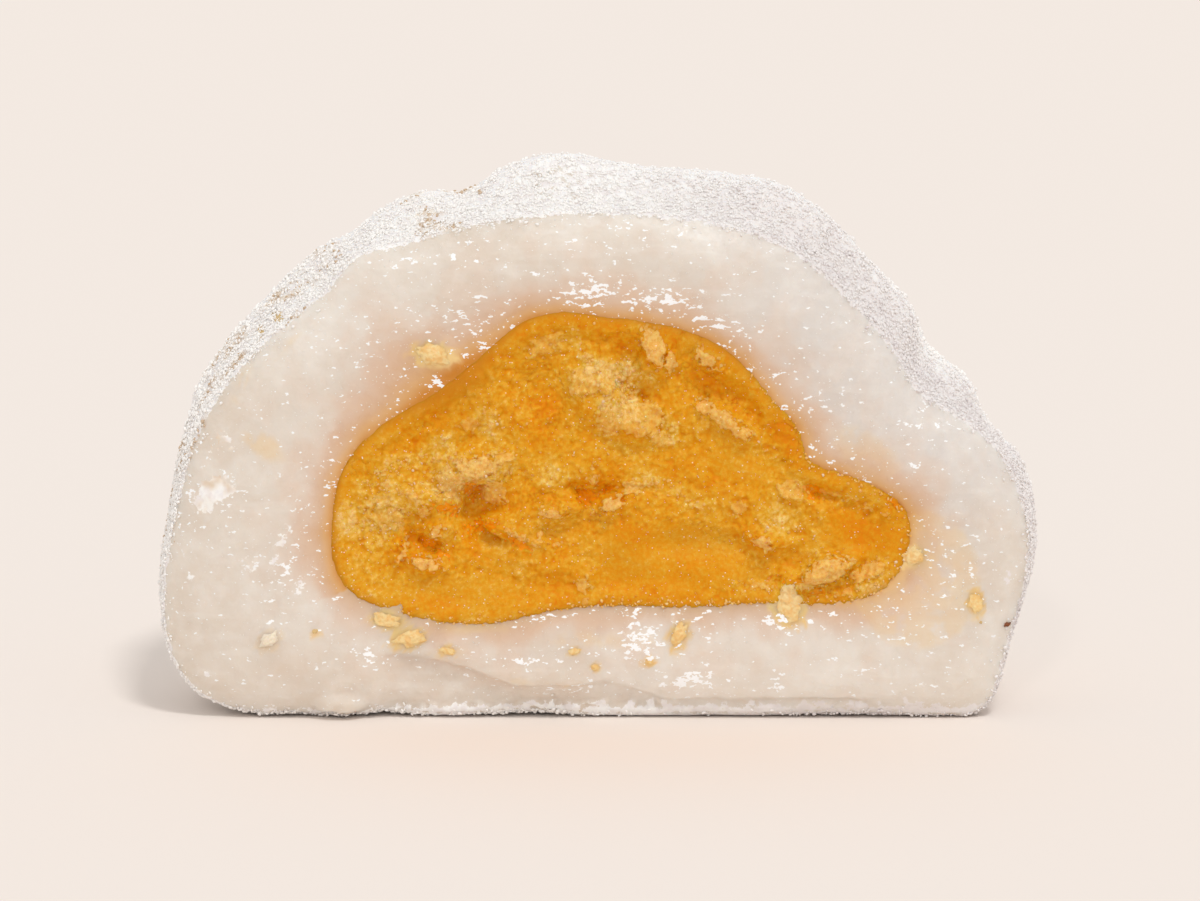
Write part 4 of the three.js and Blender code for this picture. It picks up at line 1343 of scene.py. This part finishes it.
        # By height: paler on the crests and deeper amber in the hollows, partly the drier tops of the
        # grains and partly painted shade in the hollows.
        top = torn * (0.4 * broad + 0.6 * fine + 0.6 * (crumbs - 0.5) + 0.8 * (sieved - 0.5))
        tone = 0.38 + 1.35 * crumbly - 1.1 * amber + 0.5 * top * (0.4 + 0.6 * torn) * (0.5 + crumbly)
        thin = bell(angle, THIN_WALL, 13)
        veil = np.exp(-(np.maximum(inside, 0) / (0.3 + 0.9 * thin)) ** 1.5) * (1 - 0.4 * loose)
        kept = {"tone": (0.4, np.clip(tone, 0, 1)), "flake": (-1.0, np.clip(flake, -1, 1)),
                "pale": (0.0, pale), "pit": (-1.0, np.clip(pit, -1, 1)), "veil": (0.0, veil),
                "red": (0.0, red * smoothstep(0.2, 0.55, depth))}
        for name, (elsewhere, values) in kept.items():
            every = np.full(len(places), elsewhere)
            every[shown] = values
            store(piece, name, every)
        self.front = front * (np.abs(moved[:, 1] - places[:, 1]) < 1)
        self.crumbs = np.zeros(len(places))
        border = loose * smoothstep(-0.3, 0.0, inside) * smoothstep(0.7, 0.2, inside)
        self.crumbs[shown] = (0.5 * crumbly * torn + 0.3 * border) * smoothstep(-0.2, 0.1, inside)
        piece.data.materials.append(self.paste.material())

    @staticmethod
    def level_of_dough(rim: Rim, dough: BVHTree, angle: np.ndarray) -> np.ndarray:
        """Where the dough's cut stands, along y, just outside the paste.

        Args:
            rim: The outline of the paste.
            dough: The surface of the dough, in metres.
            angle: Angles round HEART, in degrees.

        Returns:
            The y at each angle.
        """
        turns = np.arange(0.0, 360.0, 1.0)
        level = np.array([level_at((dough,), x, z) for x, _, z in rim.points(turns, 0.3)])
        level = (np.roll(level, 1) + level + np.roll(level, -1)) / 3
        return np.interp(angle, turns, level, period=360)


# ---------------------------------------------------------------- what lies on them


@dataclass
class StarchDusting:
    """Loose starch on the skin, thick along the cut's upper edge and thinner behind.

    Attributes:
        near_count: Clumps along the cut.
        far_count: Clumps over the rest of the skin.
        grain: Usual length of a clump.
        starch: Their finish.
    """

    near_count: int = 9800
    far_count: int = 9500
    grain: float = 0.17
    starch: PotatoStarch = PotatoStarch()

    def build(self, cake: Object, dusted: np.ndarray) -> list[Object]:
        """Lays the clumps.

        Args:
            cake: The finished dough.
            dusted: Where each of its vertices is dusted, 0 to 1.

        Returns:
            The clumps along the cut and those over the rest.
        """
        behind = vertex_places(cake)[:, 1] - CUT_PLANE
        above = vertex_places(cake)[:, 2] > 0.15
        near = dusted * smoothstep(7.5, 3.0, behind) * above
        far = dusted * smoothstep(3.0, 6.0, behind) * above
        material = self.starch.material()
        return [self.clumps("starch_along_cut", cake, near, self.near_count, 1.35, 31, material),
                self.clumps("starch_bloom", cake, near, self.near_count, 0.9, 33, material),
                self.clumps("starch_over_dome", cake, far, self.far_count, 1.7, 32, material)]

    def clumps(self, name: str, cake: Object, weight: np.ndarray, count: int,
               scale: float, seed: int, material: Material) -> Object:
        """Lays one spread of clumps.

        Args:
            name: Name of the piece.
            cake: The finished dough.
            weight: How thickly they lie at each vertex.
            count: How many.
            scale: Their size against the usual one.
            seed: Picks another scatter.
            material: Their finish.

        Returns:
            The piece.
        """
        spots = pick_spots(cake, count, weight, seed)
        draw = np.random.default_rng(seed + 100)
        spots.normals = spots.normals + draw.normal(scale=0.25, size=spots.normals.shape)
        length = self.grain * scale * draw.uniform(0.5, 1.35, count)
        sizes = draw_sizes(draw, length, (0.35, 0.8), (0.35, 0.7))
        piece, owner = spread(name, seed_shapes(0.16, seed), spots, sizes, 0.4, seed + 200)
        lilac = smoothstep(-0.3, 0.5, waves(spots.places, 1.3, 3, 12))
        # Painted shade: clumps darker towards the right side, with random lilac-grey patches, only near the
        # cut.
        right = smoothstep(-2.0, 14.0, spots.places[:, 0])
        shade = draw.random(count) ** 1.5 * (0.1 + (0.3 + 0.3 * right) * lilac) + 0.45 * right
        shade *= smoothstep(9.0, 4.0, spots.places[:, 1] - CUT_PLANE)
        patch = smoothstep(0.0, 0.5, waves(spots.places, 2.4, 2, 2))
        # Painted tan shade: tan clumps stand for the shade between clumps on the left flank and at the
        # notch.
        west = smoothstep(-14.0, -18.0, spots.places[:, 0]) * smoothstep(6, 12, spots.places[:, 2])
        notch = smoothstep(3.0, 1.4, np.hypot(spots.places[:, 0] - NOTCH[0], spots.places[:, 2] - NOTCH[1]))
        toast = (draw.random(count) < 0.4 * np.maximum(west, notch) * patch) * 0.8
        store(piece, "shade", shade[owner])
        store(piece, "toast", toast[owner].astype(float))
        piece.data.materials.append(material)
        return piece


@dataclass
class StrayCrumbs:
    """Crumbs of paste that the knife dragged onto the dough.

    Attributes:
        crumbs: Each crumb's oval, with its height as the amount, and its kind.
        crumb: Their finish.
    """

    crumbs: tuple[tuple[Patch, CrumbKind], ...] = CRUMBS
    crumb: DriedPasteCrumb = DriedPasteCrumb()

    def build(self, surfaces: tuple[BVHTree, ...]) -> Object:
        """Models the crumbs and sets them on the cut.

        Args:
            surfaces: The surfaces of the finished dough and paste, in metres.

        Returns:
            The crumbs, joined.
        """
        lumps = [self.lump(number, patch, kind, surfaces)
                 for number, (patch, kind) in enumerate(self.crumbs)]
        deselect_all()
        for lump in lumps:
            lump.select_set(True)
        bpy.context.view_layer.objects.active = lumps[0]
        bpy.ops.object.join()
        piece = bpy.context.object
        piece.name = "stray_crumbs"
        smooth_look(piece)
        piece.data.materials.append(self.crumb.material())
        return piece

    def lump(self, number: int, patch: Patch, kind: CrumbKind,
             surfaces: tuple[BVHTree, ...]) -> Object:
        """Models one crumb: a ball, beaten flat on to what it lies on and roughened.

        Args:
            number: Its number, which picks its shape.
            patch: Its oval and height.
            kind: Its kind.
            surfaces: The surfaces it may sit on.

        Returns:
            The crumb in its place.
        """
        big = patch.length * patch.width > 0.2
        piece = ball(5 if big else 3, 1.0)
        points = vertex_places(piece)
        cap = points[:, 1] ** 2
        front = points[:, 1] < 0
        rim = 0.9 + 0.34 * waves(points * (1, 0.3, 1), 0.6, 4, 20 + number)
        cos, sin = math.cos(math.radians(patch.turn)), math.sin(math.radians(patch.turn))
        along, beside = rim * points[:, 0] * patch.length, rim * points[:, 2] * patch.width
        points = np.stack((patch.x + along * cos - beside * sin, points[:, 1],
                           patch.z + along * sin + beside * cos), axis=1)
        lumpy = 0.02 * waves(points, 0.5, 3, 40 + number) + 0.09 * grains(points, 0.2, number)
        height = np.where(front, cap * (0.14 * patch.amount + lumpy * min(1.0, patch.amount * 2)),
                          -0.3 * cap) - 0.01
        points[:, 1] = [level_at(surfaces, x, z) for x, _, z in points] - height
        move_vertices(piece, points)
        for name, value in (("moist", 0.0), ("sugar", kind.value[0]), ("toast", kind.value[1])):
            store(piece, name, np.full(len(points), value))
        return piece


@dataclass
class LooseGrains:
    """Small loose grains of the paste, thick on its torn crumbs and along its crumbling edge.

    Attributes:
        count: How many.
        length: Usual length of a grain.
        crumb: Their finish.
    """

    count: int = 800
    length: float = 0.15
    crumb: DriedPasteCrumb = DriedPasteCrumb(name="loose_paste_grain", body="#f8c566",
                                             light="#fde2a0", see_in=0.0)

    def build(self, paste: Object, weight: np.ndarray) -> Object:
        """Lays the grains.

        Args:
            paste: The finished paste.
            weight: How thickly they lie at each vertex.

        Returns:
            The grains, as one piece.
        """
        draw = np.random.default_rng(81)
        spots = pick_spots(paste, self.count, weight, 82)
        length = self.length * draw.uniform(0.5, 1.6, self.count)
        sizes = draw_sizes(draw, length, (0.5, 0.9), (0.3, 0.6))
        piece, owner = spread("loose_paste_grains", seed_shapes(0.14, 83), spots, sizes, 0.4, 90)
        moist = np.clip(0.7 - spots.weight + draw.normal(scale=0.2, size=self.count), 0, 0.6)
        store(piece, "moist", moist[owner])
        store(piece, "sugar", (0.5 * (draw.random(self.count) < 0.06))[owner])
        store(piece, "toast", np.zeros(len(owner)))
        piece.data.materials.append(self.crumb.material())
        return piece


@dataclass
class WetGlints:
    """Fine beads of moisture all over the cut.

    Attributes:
        scattered: Beads spread over the whole cut.
        on_paste: Beads spread over the paste.
        bead: Their finish.
    """

    scattered: int = 2400
    on_paste: int = 1500
    bead: WetBead = WetBead()

    def build(self, cake: Object, face: np.ndarray, paste: Object,
              front: np.ndarray) -> Object:
        """Lays the beads.

        Args:
            cake: The finished dough.
            face: Where each of its vertices is on the cut, 0 to 1.
            paste: The finished paste.
            front: Where each of its vertices is on the cut, 0 to 1.

        Returns:
            The beads, as one piece.
        """
        draw = np.random.default_rng(51)
        fine = pick_spots(cake, self.scattered, face, 52)
        grit = pick_spots(paste, self.on_paste, front, 53)
        spots = Spots(np.vstack((fine.places, grit.places)),
                      np.vstack((fine.normals, grit.normals)), np.empty(0))
        lengths = np.concatenate((draw.uniform(0.04, 0.12, self.scattered),
                                  draw.uniform(0.04, 0.08, self.on_paste)))
        sizes = np.stack((lengths, lengths * draw.uniform(0.2, 0.7, len(lengths)),
                          np.minimum(lengths * 0.1, 0.02)), axis=1)
        piece, _ = spread("wet_glints", seed_shapes(0.14, 60), spots, sizes, 0.15, 54)
        piece.data.materials.append(self.bead.material())
        return piece


@dataclass
class HuskScrap:
    """The one dark scrap of husk near the right edge of the cut.

    Attributes:
        x: Its place across.
        z: Its height.
        size: Its length.
        husk: Its finish.
    """

    x: float = 24.18
    z: float = 5.70
    size: float = 0.5
    husk: BeanHusk = BeanHusk()

    def build(self, cake: BVHTree) -> Object:
        """Models the scrap: a flake with a bent tail.

        Args:
            cake: The surface of the finished dough, in metres.

        Returns:
            The scrap in its place.
        """
        piece = ball(3, 0.5)
        piece.name = "husk_scrap"
        points = vertex_places(piece) * (self.size, 0.3, self.size * 0.55)
        points[:, 2] += 0.9 * points[:, 0] * np.abs(points[:, 0]) / self.size
        points += 0.05 * waves(points, 0.2, 2, 70)[:, None] * (1, 0.4, 1)
        points += (self.x, level_at((cake,), self.x, self.z) - 0.02, self.z)
        move_vertices(piece, points)
        smooth_look(piece)
        piece.data.materials.append(self.husk.material())
        return piece


# ---------------------------------------------------------------- the studio


@dataclass
class Studio:
    """The pale floor, the soft light and the camera.

    Attributes:
        camera_at: Where the camera stands, in metres.
        aimed_at: What it looks at, in metres.
        lens: Focal length of the camera, for a sensor 36 mm wide.
        key: Where the key light comes from, its strength and how wide it looks, in degrees.
        spark: The same of the small light that wet places catch.
        sky_power: Strength of the light from all round.
        paper: Finish of the floor.
    """

    camera_at: tuple[float, float, float] = (0.000123, -0.41532, 0.0945)
    aimed_at: tuple[float, float, float] = (0.000123, -0.012855, 0.016272)
    lens: float = 209.1
    key: tuple[tuple[float, float, float], float, float] = ((0.22, -0.47, 0.855), 1.03, 10.0)
    spark: tuple[tuple[float, float, float], float, float] = ((-0.15, -0.85, 0.5), 0.22, 5.0)
    sky_power: float = 0.68
    paper: PaperFloor = PaperFloor()

    def build(self) -> None:
        """Sets up the floor, lights and camera."""
        deselect_all()
        bpy.ops.mesh.primitive_plane_add(size=6.0, location=(0, 0, -0.00002))
        floor = bpy.context.object
        floor.name = "floor"
        make_active(floor)
        bpy.ops.object.transform_apply(location=True, rotation=False, scale=False)
        floor.data.materials.append(self.paper.material())
        self.light()
        self.point_camera()
        bpy.context.scene.view_settings.view_transform = "Standard"

    def light(self) -> None:
        """Adds the two lights and the even light of the room."""
        for name, (away, power, angle) in (("key", self.key), ("spark", self.spark)):
            sun = bpy.data.lights.new(name, "SUN")
            sun.energy, sun.angle = power, math.radians(angle)
            lamp = bpy.data.objects.new(name, sun)
            lamp.rotation_euler = Vector(away).to_track_quat("Z", "Y").to_euler()
            bpy.context.scene.collection.objects.link(lamp)
        world = bpy.data.worlds.new("room")
        bpy.context.scene.world = world
        world.use_nodes = True
        world.node_tree.nodes.clear()
        sky = add_node(world.node_tree, "ShaderNodeBackground",
                       {"Color": (1.0, 1.0, 1.0, 1.0), "Strength": self.sky_power})
        add_node(world.node_tree, "ShaderNodeOutputWorld", links={"Surface": sky.outputs[0]})

    def point_camera(self) -> None:
        """Adds the camera and makes it the scene's."""
        data = bpy.data.cameras.new("camera")
        data.lens, data.sensor_width = self.lens, 36.0
        data.clip_start, data.clip_end = 0.02, 12.0
        camera = bpy.data.objects.new("camera", data)
        camera.location = self.camera_at
        away = Vector(self.camera_at) - Vector(self.aimed_at)
        camera.rotation_euler = away.to_track_quat("Z", "Y").to_euler()
        bpy.context.scene.collection.objects.link(camera)
        bpy.context.scene.camera = camera


# ---------------------------------------------------------------- putting it together


def hand_over(piece: Object, node: str | None = None) -> None:
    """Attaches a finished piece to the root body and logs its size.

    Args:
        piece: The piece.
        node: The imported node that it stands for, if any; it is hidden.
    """
    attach(piece, "root")
    if node:
        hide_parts(node)
    LOG.info("%s: %d vertices, %d faces", piece.name, len(piece.data.vertices),
             len(piece.data.polygons))


def main() -> None:
    """Builds the rice cake half and the studio round it."""
    logging.basicConfig(level=logging.INFO, format="%(message)s")
    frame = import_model()
    nodes = frame["nodes"]
    deselect_all()
    Studio().build()

    core, cake = PasteCore(), RiceCake()
    paste, rim = core.block_out(nodes["bean_paste"])
    dough = cake.build(nodes["rice_cake"], rim)
    hand_over(dough, "rice_cake")
    core.crumble(paste, rim, surface_of(dough))
    hand_over(paste, "bean_paste")

    for clumps in StarchDusting().build(dough, cake.dusted):
        hand_over(clumps)
    hand_over(LooseGrains().build(paste, core.crumbs))
    hand_over(StrayCrumbs().build((surface_of(dough), surface_of(paste))))
    hand_over(WetGlints().build(dough, cake.face, paste, core.front))
    hand_over(HuskScrap().build(surface_of(dough)))

    deselect_all()


if __name__ == "__main__":
    main()
